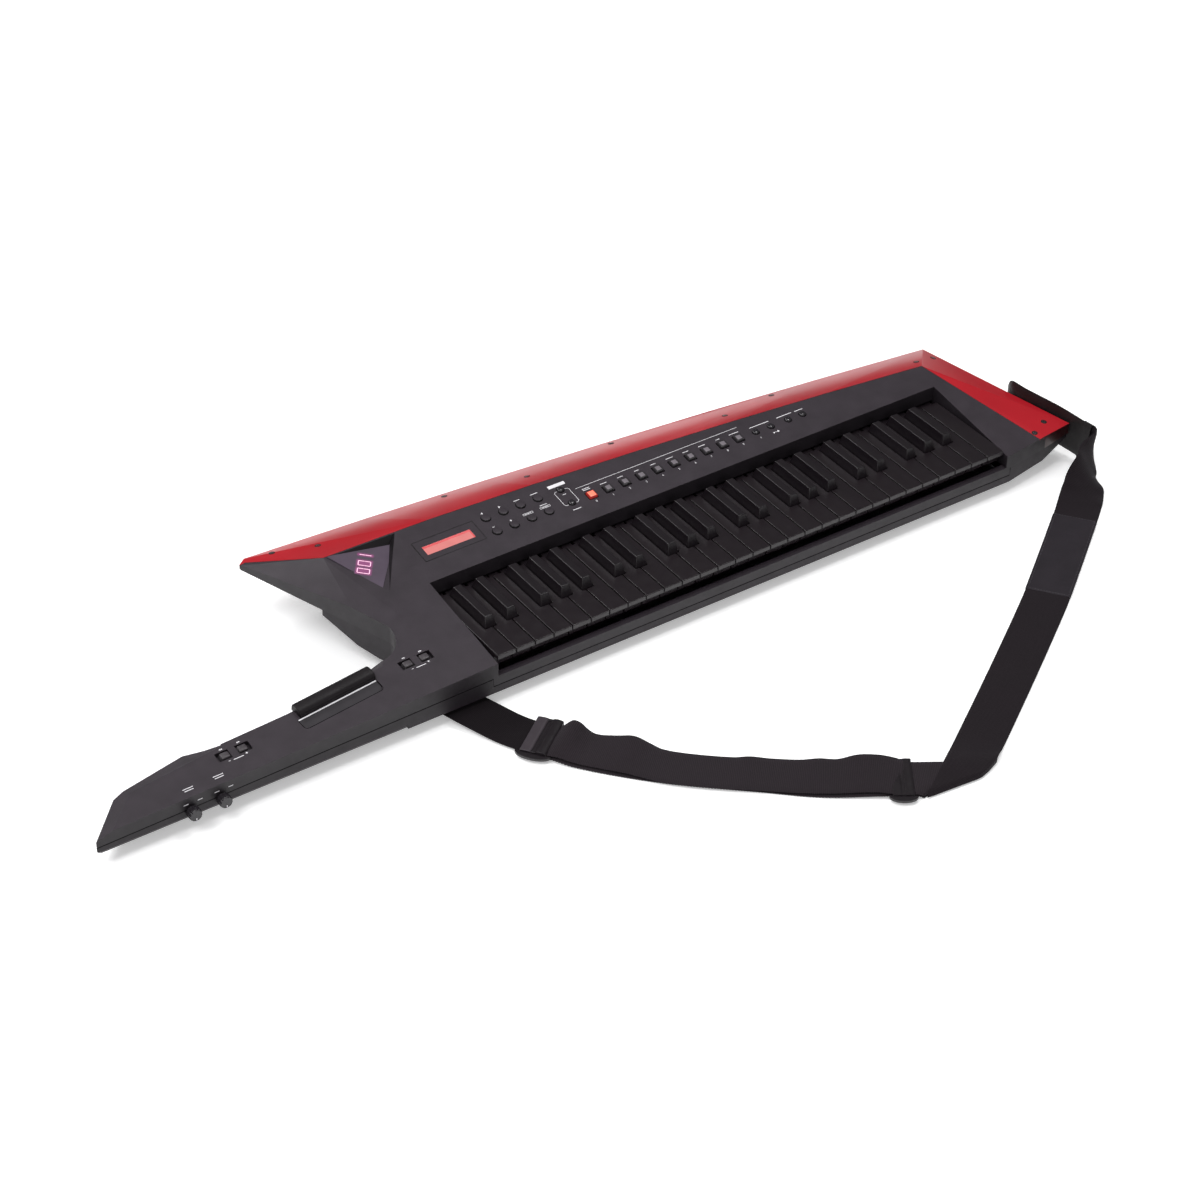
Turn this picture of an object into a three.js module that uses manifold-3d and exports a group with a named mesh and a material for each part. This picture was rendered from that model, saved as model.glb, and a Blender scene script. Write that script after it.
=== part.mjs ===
// A keytar: a 49-key shoulder keyboard with a playing neck, an edge blade and a webbing strap.
// Millimetres, +Z up. X runs along the keys from low to high, Y away from the player.
// The working frame has X = 0 at the low key's outer side, Y = 0 at the key fronts and
// Z = 0 on top of the naturals. The finished group is moved so that the origin is the
// middle of the flat belly face that it rests on.

import * as THREE from "three";
import { ConvexGeometry } from "three/addons/geometries/ConvexGeometry.js";
import { mergeVertices } from "three/addons/utils/BufferGeometryUtils.js";
import Module from "manifold-3d";

const wasm = await Module();
wasm.setup();

// Keys
const naturalCount = 29;
const naturalPitch = 23.5;
const keyGap = 1;
const naturalLength = 120;
const naturalLip = 6;
const lipOverhang = 8;
const keyDepth = 18;
const sharpFront = 46.5;
const sharpFrontSlope = 3.5;
const sharpRearSlope = 5;
const sharpBackSetback = 2;
const sharpRise = 12;
const sharpBaseWidth = 13.7;
const sharpTopWidth = 9.6;
const sharpSlot = 15.3;
const pivotSetback = 28;
const tailOverrun = 15;
const spineDepth = 10;
const spineHeight = 5;
const spineDrop = 1.6;
const pivotRailWidth = 4;

// Clearances and walls
const gap = 0.3;
const wall = 3;
const overcut = 40;
const cheekGap = 2;
const liningShare = 0.8;

// Panel plane: its height at the key fronts, below the naturals, and its slopes
const panelDrop = 5.4;
const panelSlope = 0.155;
const neckSlope = 0.027;

// Seam between the casings: below the naturals at the front edge, and its slopes
const seamDrop = 23.5;
const seamSlope = 0.1;
const neckSeamSlope = 0.0185;

// Body plan
const frontOverhang = 5;
const fallboardSetback = 10;
const fallboardFoot = 3.5;
const cheekRight = 8.5;
const bladeFrontInnerX = 65;
const bladeFrontInnerY = 2;
const bladeFrontOuterX = 107.5;
const bladeFrontOuterY = 10;
const bladeFrontOuterDrop = 8;
const ridgeRightX = 12.5;
const ridgeRightY = 36;
const ridgeLeftX = 81;
const ridgeLeftY = 87;
const cornerX = 54.5;
const cornerY = 48;
const cornerHeight = 3;
const hornReach = 152;
const hornTipY = 59;
const hornTipHeight = 8;
const hornTipWidthX = 11;
const hornTipWidthY = 8.5;
const hornRootX = 72;
const hornRootY = 97;
const hornRootHeight = 3;
const creaseEndX = 28;
const creaseEndY = 66;
const neckRootX = 112;
const notchRadius = 30;
const notchDropShare = 0.2;
const edgeBow = 8;
const keelShare = 0.55;
const tipCutShare = 0.12;
const notchReachShare = 0.5;

// Edge blade
const bladeThickness = 2.5;
const bladeTipInsetX = 8;

// Lower casing
const bellyDrop = 57;
const kneeFront = 43;
const kneeBack = 30;
const kneeCorner = 27;
const casingInset = 1.2;
const bladeOverhang = 46;
const bellyFrontY = 35;
const bellyLeftX = 20;
const bayX = 2;
const baySlopeX = 14;
const bellyBackReach = 62;
const bellyTaper = 34;
const railTopDrop = 22;
const railBottomDrop = 33.5;
const railThickness = 8;
const ribThickness = 3;
const ribShares = [0.02, 0.98];
const frameThickness = 3;
const frameDrop = 12;
const frameFrontY = 12;

// Neck
const neckReach = 466;
const tipSlantX = 40;
const tipBackY = 36;
const tipFrontDrop = 25;
const bumpY = 54;
const bumpDrop = 15;
const waistY = 41;
const neckRootY = 57;
const neckBarY = 43;
const neckBarEndY = 51;
const neckKneeDrop = 43;
const neckKeel = 6;
const bumpShare = 0.73;
const waistShare = 0.65;
const waistRunShare = 0.45;
const waistRiseShare = 0.3;
const barStartShare = 0.484;
const tipBevelX = 19;
const tipCreaseY = 28;
const backBevelShare = 0.15;
const tipBevelShare = 0.75;

// Modulation bar and ribbon
const barLength = 94;
const barWidth = 17;
const barHeight = 8;
const barSink = 3;
const barTravel = 3;
const ribbonWidth = 15;
const ribbonThickness = 1.4;
const ribbonSink = 0.8;
const ribbonEndReach = 4;
const ribbonLineWidth = 1;
const ribbonCornerShare = 0.3;
const barCentreShare = 0.365;
const barShift = 3;
const barPivotInset = 2;
const barTiltAngle = 5 * THREE.MathUtils.DEG2RAD;

// The bar's rounded back, from its rear edge to its front: shares of half its width and of
// its height
const barCurveShares = [
  [1, 0.25], [1, 0.85], [0.55, 1], [0, 1], [-0.6, 1], [-1, 0.8], [-1, 0.2],
];

// Side knobs
const knobRadius = 7.2;
const knobLength = 10;
const knobSpacing = 34;
const knobShaftRadius = 3;
const knobShaftLength = 7;
const knobStart = 104;
const knobDrop = 2.5;
const knobEdgeShares = [0.86, 0.8];

// Rocker pairs on the neck
const rockerCapSpacing = 20;
const rockerCapWidth = 9;
const rockerCapDepth = 7;
const rockerCapRise = 2.2;
const rockerRecess = 2;
const rockerRecessLength = 38;
const rockerRecessDepth = 12;
const rockerBeam = 1.6;
const rockerSwing = 1.8;
const octaveShare = 0.157;
const programShare = 0.636;
const rockerBackY = 42;
const rockerStep = 16;

// Panel controls
const rowFront = 32.5;
const rowBack = 55.5;
const controlPitch = 22.4;
const carrierThickness = 1.6;
const carrierMargin = 3;
const buttonGap = 0.4;
const roundRadius = 5.2;
const roundRise = 1.2;
const roundStartX = 104;
const roundCount = 4;
const selectRadius = 4.2;
const selectRise = 2.6;
const selectX = 201;
const padSize = 10;
const padRise = 2.6;
const padStartX = 227;
const padCount = 10;
const padPitch = 22.2;
const domeRadius = 4.2;
const domeRise = 2.6;
const domeStartX = 451;
const domeReach = 66;
const domeShares = [0, 0.32, 0.69, 1];
const crownShares = [0.8, 0.4];
const boardDrop = 13;
const boardThickness = 1.6;
const boardLeftX = 4;
const boardRightX = 540;
const bossRadius = 4;
const bossShares = [0.05, 0.5, 0.95];

// Displays
const lcdStartX = 12;
const lcdWidth = 76;
const lcdDepth = 30;
const lcdThickness = 1.5;
const pocketRightX = 6;
const pocketLowX = 45;
const pocketLowY = 10;
const pocketDepth = 9;
const pocketFootX = 12;
const pocketWall = 2.5;
const pocketHeel = 5;
const pocketHeelShare = 2.5;
const pocketSkinShares = [0.5, 1.5];
const lensThickness = 1.2;

// Underside
const hatchLength = 120;
const hatchWidth = 62;
const hatchThickness = 2.4;
const hatchOffset = 120;
const hatchRecess = 0.6;
const hatchLip = 4;
const socketPanelLength = 150;
const socketPanelHeight = 16;
const socketPanelThickness = 2.5;
const socketRadius = 4.6;
const socketDepth = 1.6;
const socketCount = 5;

// Strap pins
const pinNeckRadius = 4;
const pinHeadRadius = 7.5;
const pinHeadHeight = 3;
const pinBaseHeight = 1.5;
const pinBodyShare = 0.32;
const pinBodyDrop = 21;
const pinNeckX = 62;
const pinNeckY = 40;
const pinBaseRadius = 5.5;
const pinHeadShares = [0.7, 0.6];

// Strap
const webbingWidth = 50;
const webbingThickness = 2;
const doubledThickness = 4.4;
const tabThickness = 3;
const strapReachY = 385;
const sliderLength = 22;
const sliderWall = 2;
const sliderSideShare = 1.5;
const strapRise = 6;
const neckStrapLift = 9;
const foldLift = 7;
const tabFrontReach = 92;
const tabBackReach = 26;
const tabOffset = 6;
const tabCornerShare = 0.18;
const tabTailShare = 0.25;
const tabTiltAngle = 6 * THREE.MathUtils.DEG2RAD;

// Colours
const charcoal = new THREE.Color(0.060, 0.055, 0.061);
const keyBlack = new THREE.Color(0.018, 0.016, 0.017);
const controlBlack = new THREE.Color(0.030, 0.028, 0.030);
const bladeRed = new THREE.Color(0.42, 0.012, 0.018);
const webbingBlack = new THREE.Color(0.015, 0.013, 0.016);
const boardGreen = new THREE.Color(0.02, 0.16, 0.07);
const steel = new THREE.Color(0.5, 0.5, 0.52);
const lensRed = new THREE.Color(0.75, 0.20, 0.18);

// Lengths that follow from the sizes above
const keyboardWidth = naturalCount * naturalPitch;
const frontY = -frontOverhang;
const fallboardY = naturalLength + fallboardSetback;
const ridgeRight = { x: keyboardWidth + ridgeRightX, y: fallboardY + ridgeRightY };
const ridgeLeft = { x: -ridgeLeftX, y: fallboardY + ridgeLeftY };
const bladeFrontInner = { x: keyboardWidth + bladeFrontInnerX, y: bladeFrontInnerY };
const bladeFrontOuter = { x: keyboardWidth + bladeFrontOuterX, y: bladeFrontOuterY };
const backCorner = { x: keyboardWidth + cornerX, y: ridgeRight.y + cornerY };
const hornTip = { x: -hornReach, y: ridgeLeft.y + hornTipY };
const hornBack = { x: hornTip.x + hornTipWidthX, y: hornTip.y + hornTipWidthY };
const hornRoot = { x: -hornRootX, y: hornRootY };
const creaseEnd = { x: -creaseEndX, y: creaseEndY };
const rightCheek = keyboardWidth + cheekRight;
const pivotY = naturalLength + pivotSetback;
const tailEnd = pivotY + tailOverrun;
const farBelow = -bellyDrop - overcut;
const farAbove = overcut * 2;
const neckTipX = -neckReach;

const group = new THREE.Group();

// Solids

function solidOf(geometry) {
  const bare = geometry.clone();
  bare.deleteAttribute("normal");
  bare.deleteAttribute("uv");
  const merged = mergeVertices(bare);
  const vertProperties = new Float32Array(merged.attributes.position.array);
  const triVerts = new Uint32Array(merged.index.array);
  return new wasm.Manifold(new wasm.Mesh({ numProp: 3, vertProperties, triVerts }));
}

function geometryOf(solid) {
  const { vertProperties, triVerts } = solid.getMesh();
  const geometry = new THREE.BufferGeometry();
  geometry.setAttribute("position", new THREE.BufferAttribute(vertProperties, 3));
  geometry.setIndex(new THREE.BufferAttribute(triVerts, 1));
  const flat = geometry.toNonIndexed();
  flat.computeVertexNormals();
  return flat;
}

function place(name, solid, color, roughness, metalness = 0) {
  const material = new THREE.MeshStandardMaterial({ color, roughness, metalness });
  const mesh = new THREE.Mesh(geometryOf(solid), material);
  mesh.name = name;
  group.add(mesh);
  return mesh;
}

function block(x0, x1, y0, y1, z0, z1, matrix) {
  const geometry = new THREE.BoxGeometry(x1 - x0, y1 - y0, z1 - z0);
  geometry.translate((x0 + x1) / 2, (y0 + y1) / 2, (z0 + z1) / 2);
  if (matrix) {
    geometry.applyMatrix4(matrix);
  }
  return solidOf(geometry);
}

// The convex solid around a list of [x, y, z] points
function hull(points, matrix) {
  const geometry = new ConvexGeometry(points.map(([x, y, z]) => new THREE.Vector3(x, y, z)));
  if (matrix) {
    geometry.applyMatrix4(matrix);
  }
  return solidOf(geometry);
}

// A convex solid over a plan rectangle, between two heights that may follow a slope
function slab(x0, x1, y0, y1, low, high) {
  const at = (level, x, y) => (typeof level === "function" ? level(x, y) : level);
  const corners = [[x0, y0], [x1, y0], [x1, y1], [x0, y1]];
  const points = corners.flatMap(([x, y]) => [[x, y, at(low, x, y)], [x, y, at(high, x, y)]]);
  return hull(points);
}

function prism(outline, z0, z1, matrix) {
  const shape = new THREE.Shape(outline.map(([x, y]) => new THREE.Vector2(x, y)));
  const geometry = new THREE.ExtrudeGeometry(shape, { depth: z1 - z0, bevelEnabled: false });
  geometry.translate(0, 0, z0);
  if (matrix) {
    geometry.applyMatrix4(matrix);
  }
  return solidOf(geometry);
}

function rod(radius, z0, z1, matrix, sides = 24) {
  const geometry = new THREE.CylinderGeometry(radius, radius, z1 - z0, sides);
  geometry.rotateX(Math.PI / 2);
  geometry.translate(0, 0, (z0 + z1) / 2);
  if (matrix) {
    geometry.applyMatrix4(matrix);
  }
  return solidOf(geometry);
}

// A turned solid about the local Z axis from [radius, height] points
function turned(profile, matrix, sides = 24) {
  const points = profile.map(([r, z]) => new THREE.Vector2(r, z));
  const geometry = new THREE.LatheGeometry(points, sides);
  geometry.rotateX(Math.PI / 2);
  if (matrix) {
    geometry.applyMatrix4(matrix);
  }
  return solidOf(geometry);
}

function joined(solids) {
  return solids.reduce((whole, solid) => whole.add(solid));
}

// The height function of the plane through three [x, y, z] points
function planeThrough(p, q, r) {
  const a = new THREE.Vector3(...p);
  const ab = new THREE.Vector3(...q).sub(a);
  const normal = new THREE.Vector3(...r).sub(a).cross(ab);
  return (x, y) => a.z - (normal.x * (x - a.x) + normal.y * (y - a.y)) / normal.z;
}

// Heights of the panel and seam, which bend gently at the neck's root
const panelZ = (x, y) => -panelDrop + panelSlope * y + neckSlope * Math.min(x, 0);
const seamZ = (x, y) => -seamDrop + seamSlope * (y - frontY) + neckSeamSlope * Math.min(x, 0);

const lowered = (level, by) => (x, y) => level(x, y) - by;

// A frame on the panel plane at (x, y), turned about its normal, with Z pointing out
function panelFrame(x, y, turn = 0) {
  const slopeX = x < 0 ? neckSlope : 0;
  const along = new THREE.Vector3(1, 0, slopeX).normalize();
  const normal = new THREE.Vector3(-slopeX, -panelSlope, 1).normalize();
  const across = normal.clone().cross(along);
  const matrix = new THREE.Matrix4().makeBasis(along, across, normal);
  matrix.setPosition(x, y, panelZ(x, y));
  return matrix.multiply(new THREE.Matrix4().makeRotationZ(turn));
}

const mix = (a, b, share) => a + (b - a) * share;

// Body: a convex form of facets, cut to its plan outline

const edgeSteps = 6;
const edgeShares = Array.from({ length: edgeSteps + 1 }, (_, i) => i / edgeSteps);
const bow = (share) => edgeBow * 4 * share * (1 - share);

// Points along the blade's inner boundary and along the body's back edge
const ridgePlan = edgeShares.map((share) => [
  mix(ridgeLeft.x, ridgeRight.x, share),
  mix(ridgeLeft.y, ridgeRight.y, share) + bow(share),
]);
const backPlan = edgeShares.map((share) => [
  mix(hornBack.x, backCorner.x, share),
  mix(hornBack.y, backCorner.y, share) + bow(share),
]);

function ridgeY(x) {
  const share = (x - ridgeLeft.x) / (ridgeRight.x - ridgeLeft.x);
  return mix(ridgeLeft.y, ridgeRight.y, share) + bow(share);
}

const at = (point, z) => [point.x, point.y, z];
const onPanel = (x, y) => [x, y, panelZ(x, y)];
const facet = planeThrough(
  onPanel(ridgeLeft.x, ridgeLeft.y),
  at(hornRoot, hornRootHeight),
  onPanel(creaseEnd.x, creaseEnd.y),
);

// The body's outer form, or the same form moved down by drop and in by inset at the blade
function bodyForm(drop = 0, inset = 0) {
  const edge = backPlan.map(([x, y], i) => [
    x - inset * edgeShares[i],
    y - inset,
    mix(hornTipHeight, cornerHeight, edgeShares[i]),
  ]);
  const rootY = neckBarEndY - wall;
  const top = [
    [hornTip.x + inset, hornTip.y - inset, hornTipHeight],
    ...edge,
    ...ridgePlan.map(([x, y]) => onPanel(x, y)),
    at({ x: bladeFrontOuter.x - inset, y: bladeFrontOuter.y }, -bladeFrontOuterDrop),
    onPanel(bladeFrontInner.x, bladeFrontInner.y),
    onPanel(rightCheek, frontY),
    onPanel(-creaseEndX, frontY),
    onPanel(creaseEnd.x, creaseEnd.y),
    at(hornRoot, hornRootHeight),
    [-neckRootX, rootY, facet(-neckRootX, rootY)],
    [-neckRootX, frontY, facet(-neckRootX, rootY)],
  ];
  return hull(top.flatMap(([x, y, z]) => [[x, y, z - drop], [x, y, farBelow]]));
}

// The notch between horn and neck: a quarter turn from the horn's edge to the neck's back
function notchPoints() {
  const steps = 7;
  const first = 0;
  const last = -92;
  const centreX = -hornRootX - notchRadius;
  const centreY = hornRootY - notchRadius * notchDropShare;
  return Array.from({ length: steps + 1 }, (_, i) => {
    const angle = THREE.MathUtils.DEG2RAD * mix(first, last, i / steps);
    return [centreX + notchRadius * Math.cos(angle), centreY + notchRadius * Math.sin(angle)];
  });
}

// What is cut away between the horn and the neck, seen from above
function notchCut(inset = 0) {
  const tip = [
    mix(hornTip.x, hornBack.x, tipCutShare) + inset,
    mix(hornTip.y, hornBack.y, tipCutShare) - inset,
  ];
  const root = [hornRoot.x + inset, hornRoot.y];
  const arc = notchPoints().map(([x, y]) => [x + inset, y - inset]);
  const beyond = [0, 1].map((i) => tip[i] + (tip[i] - root[i]) * notchReachShare);
  const outline = [beyond, root, ...arc, [-neckReach, arc[arc.length - 1][1]]];
  return prism(outline, farBelow, farAbove);
}

// Neck plan, from the tip to inside the body
const bumpX = -neckReach * bumpShare;
const waistX = -neckReach * waistShare;
const barStartX = -neckReach * barStartShare;

function neckOutline(inset = 0) {
  return [
    [neckTipX + inset, frontY + inset],
    [0, frontY + inset],
    [0, neckRootY - inset],
    [-creaseEndX, neckRootY - inset],
    [-neckRootX, neckBarEndY - inset],
    [barStartX, neckBarY - inset],
    [waistX, waistY - inset],
    [mix(waistX, bumpX, waistRunShare), mix(waistY, bumpY, waistRiseShare) - inset],
    [bumpX, bumpY - inset],
    [neckTipX + tipSlantX + inset, tipBackY - inset],
  ];
}

// The neck's form: its plan under the panel plane, with bevels at the back and the tip
function neckForm(drop = 0, inset = 0) {
  const tipX = neckTipX + tipSlantX;
  const backBevel = planeThrough(
    onPanel(tipX, tipCreaseY),
    onPanel(waistX, waistY - tipBevelX * backBevelShare),
    [bumpX, bumpY, -bumpDrop],
  );
  const tipBevel = planeThrough(
    onPanel(tipX + tipBevelX * tipBevelShare, tipCreaseY),
    onPanel(neckTipX + tipBevelX, frontY),
    [neckTipX, frontY, -tipFrontDrop],
  );
  const start = neckTipX - overcut;
  return prism(neckOutline(inset), farBelow, farAbove)
    .intersect(slab(start, 0, -overcut, neckReach, farBelow, lowered(panelZ, drop)))
    .subtract(slab(start, waistX, -overcut, neckReach, lowered(backBevel, drop), neckReach))
    .subtract(slab(start, waistX, -overcut, neckReach, lowered(tipBevel, drop), neckReach));
}

// Everything above the seam between the casings, raised by a clearance
function aboveSeam(clearance = 0) {
  const level = lowered(seamZ, -clearance);
  const far = neckReach * 3;
  return slab(-far, 0, -overcut, neckReach, level, far).add(
    slab(0, far, -overcut, neckReach, level, far),
  );
}

// A flat layer with a plan outline, that follows the panel plane at a depth under it
function layer(outline, drop, thickness) {
  const far = neckReach * 2;
  const bottom = lowered(panelZ, drop + thickness);
  return prism(outline, farBelow, farAbove).intersect(
    slab(0, far, -overcut, neckReach, bottom, lowered(panelZ, drop)),
  );
}

const rectangle = (x0, x1, y0, y1) => [[x0, y0], [x1, y0], [x1, y1], [x0, y1]];

// Edge blade: a bent skin over the back and right-hand edges, with a lip down to the seam

function bladeRegion(clearance = 0) {
  return prism(
    [
      [hornTip.x + bladeTipInsetX + clearance, hornTip.y + clearance],
      ...ridgePlan.map(([x, y]) => [x + clearance, y + clearance]),
      [bladeFrontInner.x + clearance, bladeFrontInner.y - overcut],
      [bladeFrontOuter.x + overcut, bladeFrontOuter.y - overcut],
      [backCorner.x + overcut, backCorner.y + overcut],
      [hornTip.x - overcut, hornTip.y + overcut],
      [hornTip.x - overcut, hornTip.y + clearance],
    ],
    farBelow,
    farAbove,
  );
}

const blankForm = bodyForm().subtract(notchCut());

function edgeBlade() {
  return blankForm
    .intersect(bladeRegion(gap / 2))
    .intersect(aboveSeam(gap * 2))
    .subtract(bodyForm(bladeThickness, bladeThickness));
}

// Key well and the walls round it
const wellLeft = -cheekGap;
const wellRight = keyboardWidth + cheekGap;
const railEnd = wall * 2;

function keyWell() {
  const behindRail = block(
    wellLeft, wellRight, frontY + railThickness, fallboardY, farBelow, farAbove,
  );
  const overRail = block(wellLeft, wellRight, -overcut, fallboardY, -railTopDrop, farAbove);
  const underFallboard = block(
    wellLeft, wellRight, fallboardY - wall, fallboardY + wall * 2, farBelow, -fallboardFoot,
  );
  return joined([behindRail, overRail, underFallboard]);
}

function wellWalls() {
  const back = fallboardY + wall;
  return joined([
    block(wellLeft - wall, wellLeft, -overcut, back, farBelow, farAbove),
    block(wellRight, wellRight + wall, -overcut, back, farBelow, farAbove),
    block(wellLeft - wall, wellRight + wall, fallboardY, back, farBelow, farAbove),
  ]);
}

// Lower casing plan at the seam: the body's plan, drawn in under the blade's overhang
function lowerPlan(inset = 0) {
  const side = 1 - bladeOverhang / (backCorner.y - bladeFrontOuter.y);
  const endX = mix(bladeFrontOuter.x, backCorner.x, side);
  const endY = mix(bladeFrontOuter.y, backCorner.y, side);
  const keelX = mix(hornTip.x, hornRoot.x, keelShare);
  const keelY = mix(hornTip.y, hornRoot.y, keelShare);
  const edge = casingInset + inset;
  return [
    { x: -neckRootX, y: frontY + inset, z: -kneeFront },
    { x: rightCheek, y: frontY + inset, z: -kneeFront },
    { x: bladeFrontInner.x, y: bladeFrontInner.y + edge, z: -kneeFront + wall },
    { x: bladeFrontOuter.x - edge, y: bladeFrontOuter.y + edge, z: -kneeCorner },
    { x: endX - edge, y: endY - inset, z: -kneeBack },
    { x: keelX + bladeOverhang, y: hornBack.y - bladeOverhang - inset, z: -kneeBack },
    { x: keelX + edge, y: keelY, z: -kneeBack / 2 },
    { x: -neckRootX, y: neckBarEndY - wall * 2, z: -kneeFront },
  ];
}

const bellyPlan = {
  x0: bellyLeftX,
  x1: keyboardWidth - cheekGap,
  y0: bellyFrontY,
  y1: fallboardY + bellyBackReach,
  y2: fallboardY + bellyBackReach - bellyTaper,
};

function lowerForm(inset = 0) {
  const rim = lowerPlan(inset);
  const floor = -bellyDrop + inset;
  const { x0, x1, y0, y1, y2 } = bellyPlan;
  const points = [
    ...rim.map(({ x, y }) => [x, y, wall * 4]),
    ...rim.map(({ x, y, z }) => [x, y, z + inset]),
    [x0, y0, floor],
    [x1, y0, floor],
    [x1, y2, floor],
    [x0, y1, floor],
  ];
  return hull(points).subtract(notchCut(casingInset + inset));
}

// The raised bay in the underside at the neck's root, where the strap comes out
function strapBay(inset = 0) {
  const top = -kneeFront + inset;
  const far = neckReach * 2;
  const end = -bayX + inset;
  return hull([-far, far].flatMap((y) => [
    [-far, y, top],
    [end, y, top],
    [end + baySlopeX, y, top - bellyDrop + kneeFront],
    [end + baySlopeX, y, farBelow],
    [-far, y, farBelow],
  ]));
}

// The neck's underside: a bar with its lower edges cut back
function neckLowerForm(inset = 0) {
  const floor = -neckKneeDrop + inset;
  const start = neckTipX + inset;
  const spread = neckKeel / 2;
  const keel = hull([
    ...rectangle(start - spread, neckKeel, frontY + inset - spread, bumpY + spread)
      .flatMap(([x, y]) => [[x, y, neckKeel], [x, y, floor + neckKeel + spread]]),
    ...rectangle(start + neckKeel, neckKeel, frontY + inset + spread, bumpY - neckKeel)
      .map(([x, y]) => [x, y, floor]),
  ]);
  return prism(neckOutline(inset), farBelow, farAbove).intersect(keel);
}

// Frames of the things that sit on the neck
const barX = -neckReach * barCentreShare;
const barY = neckBarY + (neckBarEndY - neckBarY) / 2 - barShift;
const barFrame = panelFrame(barX, barY, barTiltAngle);
const octaveFrame = panelFrame(-neckReach * octaveShare, rockerBackY);
const programFrame = panelFrame(-neckReach * programShare, rockerBackY - rockerStep);
const barPivotY = -barWidth / 2 + barPivotInset;

function ribbonOutline(grow) {
  const x0 = -barLength / 2 - ribbonEndReach - grow;
  const x1 = barLength / 2 - ribbonLineWidth + grow;
  const y1 = -barWidth / 2 - ribbonLineWidth + grow;
  const y0 = y1 - ribbonWidth - grow * 2;
  const corner = ribbonWidth * ribbonCornerShare;
  return [
    [x0 + corner, y0],
    [x1 - corner, y0],
    [x1, y0 + corner],
    [x1, y1],
    [x0, y1],
    [x0, y0 + corner],
  ];
}

const ribbonSeat = ribbonSink + ribbonThickness + gap;

function barRecess(grow) {
  const x = barLength / 2 + gap + grow;
  const front = -barWidth / 2 - gap - grow;
  const shelf = -barSink - gap - grow;
  const deep = -barSink - barTravel - wall / 2 - grow;
  const back = barWidth / 2 + overcut;
  const pivotShelf = barPivotY + barPivotInset;
  const step = gap / 2;
  return joined([
    block(-x, x, front, back, shelf, overcut, barFrame),
    block(
      step - x, x - step, grow > 0 ? front + step : pivotShelf, back + step, deep,
      overcut + step, barFrame,
    ),
    prism(ribbonOutline(gap + grow), -ribbonSeat - grow, overcut - step, barFrame),
  ]);
}

const rockerLength = rockerCapSpacing + rockerCapWidth + rockerBeam;
const rockerDepth = rockerRecess + rockerBeam + gap + rockerSwing;

function rockerPit(frame, grow) {
  const x = rockerRecessLength / 2 + grow;
  const y = rockerRecessDepth / 2 + grow;
  const pit = block(-x, x, -y, y, -rockerDepth - grow, overcut, frame);
  if (grow > 0) {
    return pit;
  }
  const ridge = rockerBeam;
  const ridgeTop = -rockerRecess - rockerBeam - gap;
  return pit.subtract(block(-ridge, ridge, -y * 2, y * 2, -overcut, ridgeTop, frame));
}

function rocker(frame) {
  const capX = rockerCapSpacing / 2;
  const cap = (x) => block(
    x - rockerCapWidth / 2, x + rockerCapWidth / 2, -rockerCapDepth / 2, rockerCapDepth / 2,
    -rockerRecess - rockerBeam / 2, rockerCapRise - rockerRecess, frame,
  );
  const beamDepth = rockerCapDepth + rockerBeam;
  const beam = block(
    -rockerLength / 2, rockerLength / 2, -beamDepth / 2, beamDepth / 2,
    -rockerRecess - rockerBeam, -rockerRecess, frame,
  );
  return joined([beam, cap(-capX), cap(capX)]);
}

// The pocket for the three-digit display: flat-sided, deepest at its right-hand back corner

function pocketCorners(grow) {
  const back = ridgeY(pocketRightX) - wall / 2 + grow;
  const left = [ridgeLeft.x + wall - grow, ridgeLeft.y - wall / 2 + grow];
  const right = [pocketRightX + grow, back];
  const [skinX, skinY] = pocketSkinShares.map((share) => grow * share);
  const low = [-pocketLowX + skinX, fallboardY + pocketLowY - skinY];
  const foot = [pocketRightX - pocketFootX, back - pocketFootX / 2];
  const heelY = fallboardY + pocketLowY + pocketHeel * pocketHeelShare;
  const heel = [-pocketLowX - pocketHeel, heelY];
  return { left, right, low, foot, heel };
}

function pocket(grow = 0) {
  const { left, right, low, foot, heel } = pocketCorners(grow);
  const raised = [left, right, low].map(([x, y]) => [x, y, panelZ(x, y) + overcut / 2]);
  const level = [left, right, low].map(([x, y]) => [x, y, panelZ(x, y) - grow]);
  return hull([
    ...raised,
    ...level,
    [foot[0], foot[1], panelZ(...foot) - pocketDepth - grow],
    [heel[0], heel[1], panelZ(...heel) - pocketDepth / 4 - grow],
  ]);
}

function pocketFloor() {
  const { left, foot, heel } = pocketCorners(0);
  return planeThrough(
    onPanel(...left),
    [foot[0], foot[1], panelZ(...foot) - pocketDepth],
    [heel[0], heel[1], panelZ(...heel) - pocketDepth / 4],
  );
}

// Controls on the panel

const frontRowY = fallboardY + rowFront;
const backRowY = fallboardY + rowBack;
const roundSpots = [frontRowY, backRowY].flatMap((y) =>
  Array.from({ length: roundCount }, (_, i) => [roundStartX + i * controlPitch, y]));
const selectSpots = [[selectX, frontRowY], [selectX, backRowY]];
const padSpots = Array.from({ length: padCount }, (_, i) => [padStartX + i * padPitch, frontRowY]);
const domeSpots = domeShares.map((share) => [domeStartX + share * domeReach, frontRowY]);

const roundCap = (grow) => (frame) => rod(
  roundRadius + grow, -overcut, grow > 0 ? overcut : roundRise, frame,
);

function padCap(grow) {
  const half = padSize / 2 + grow;
  return (frame) => block(-half, half, -half, half, -overcut, grow > 0 ? overcut : padRise, frame);
}

function domeCap(grow, radius, rise) {
  if (grow > 0) {
    return (frame) => rod(radius + grow, -overcut, overcut, frame);
  }
  const crown = rise / 2;
  return (frame) => turned(
    [[0, -overcut], [radius, -overcut], [radius, rise - crown],
      [radius * crownShares[0], rise - crown / 3], [radius * crownShares[1], rise], [0, rise]],
    frame,
  );
}

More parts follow.
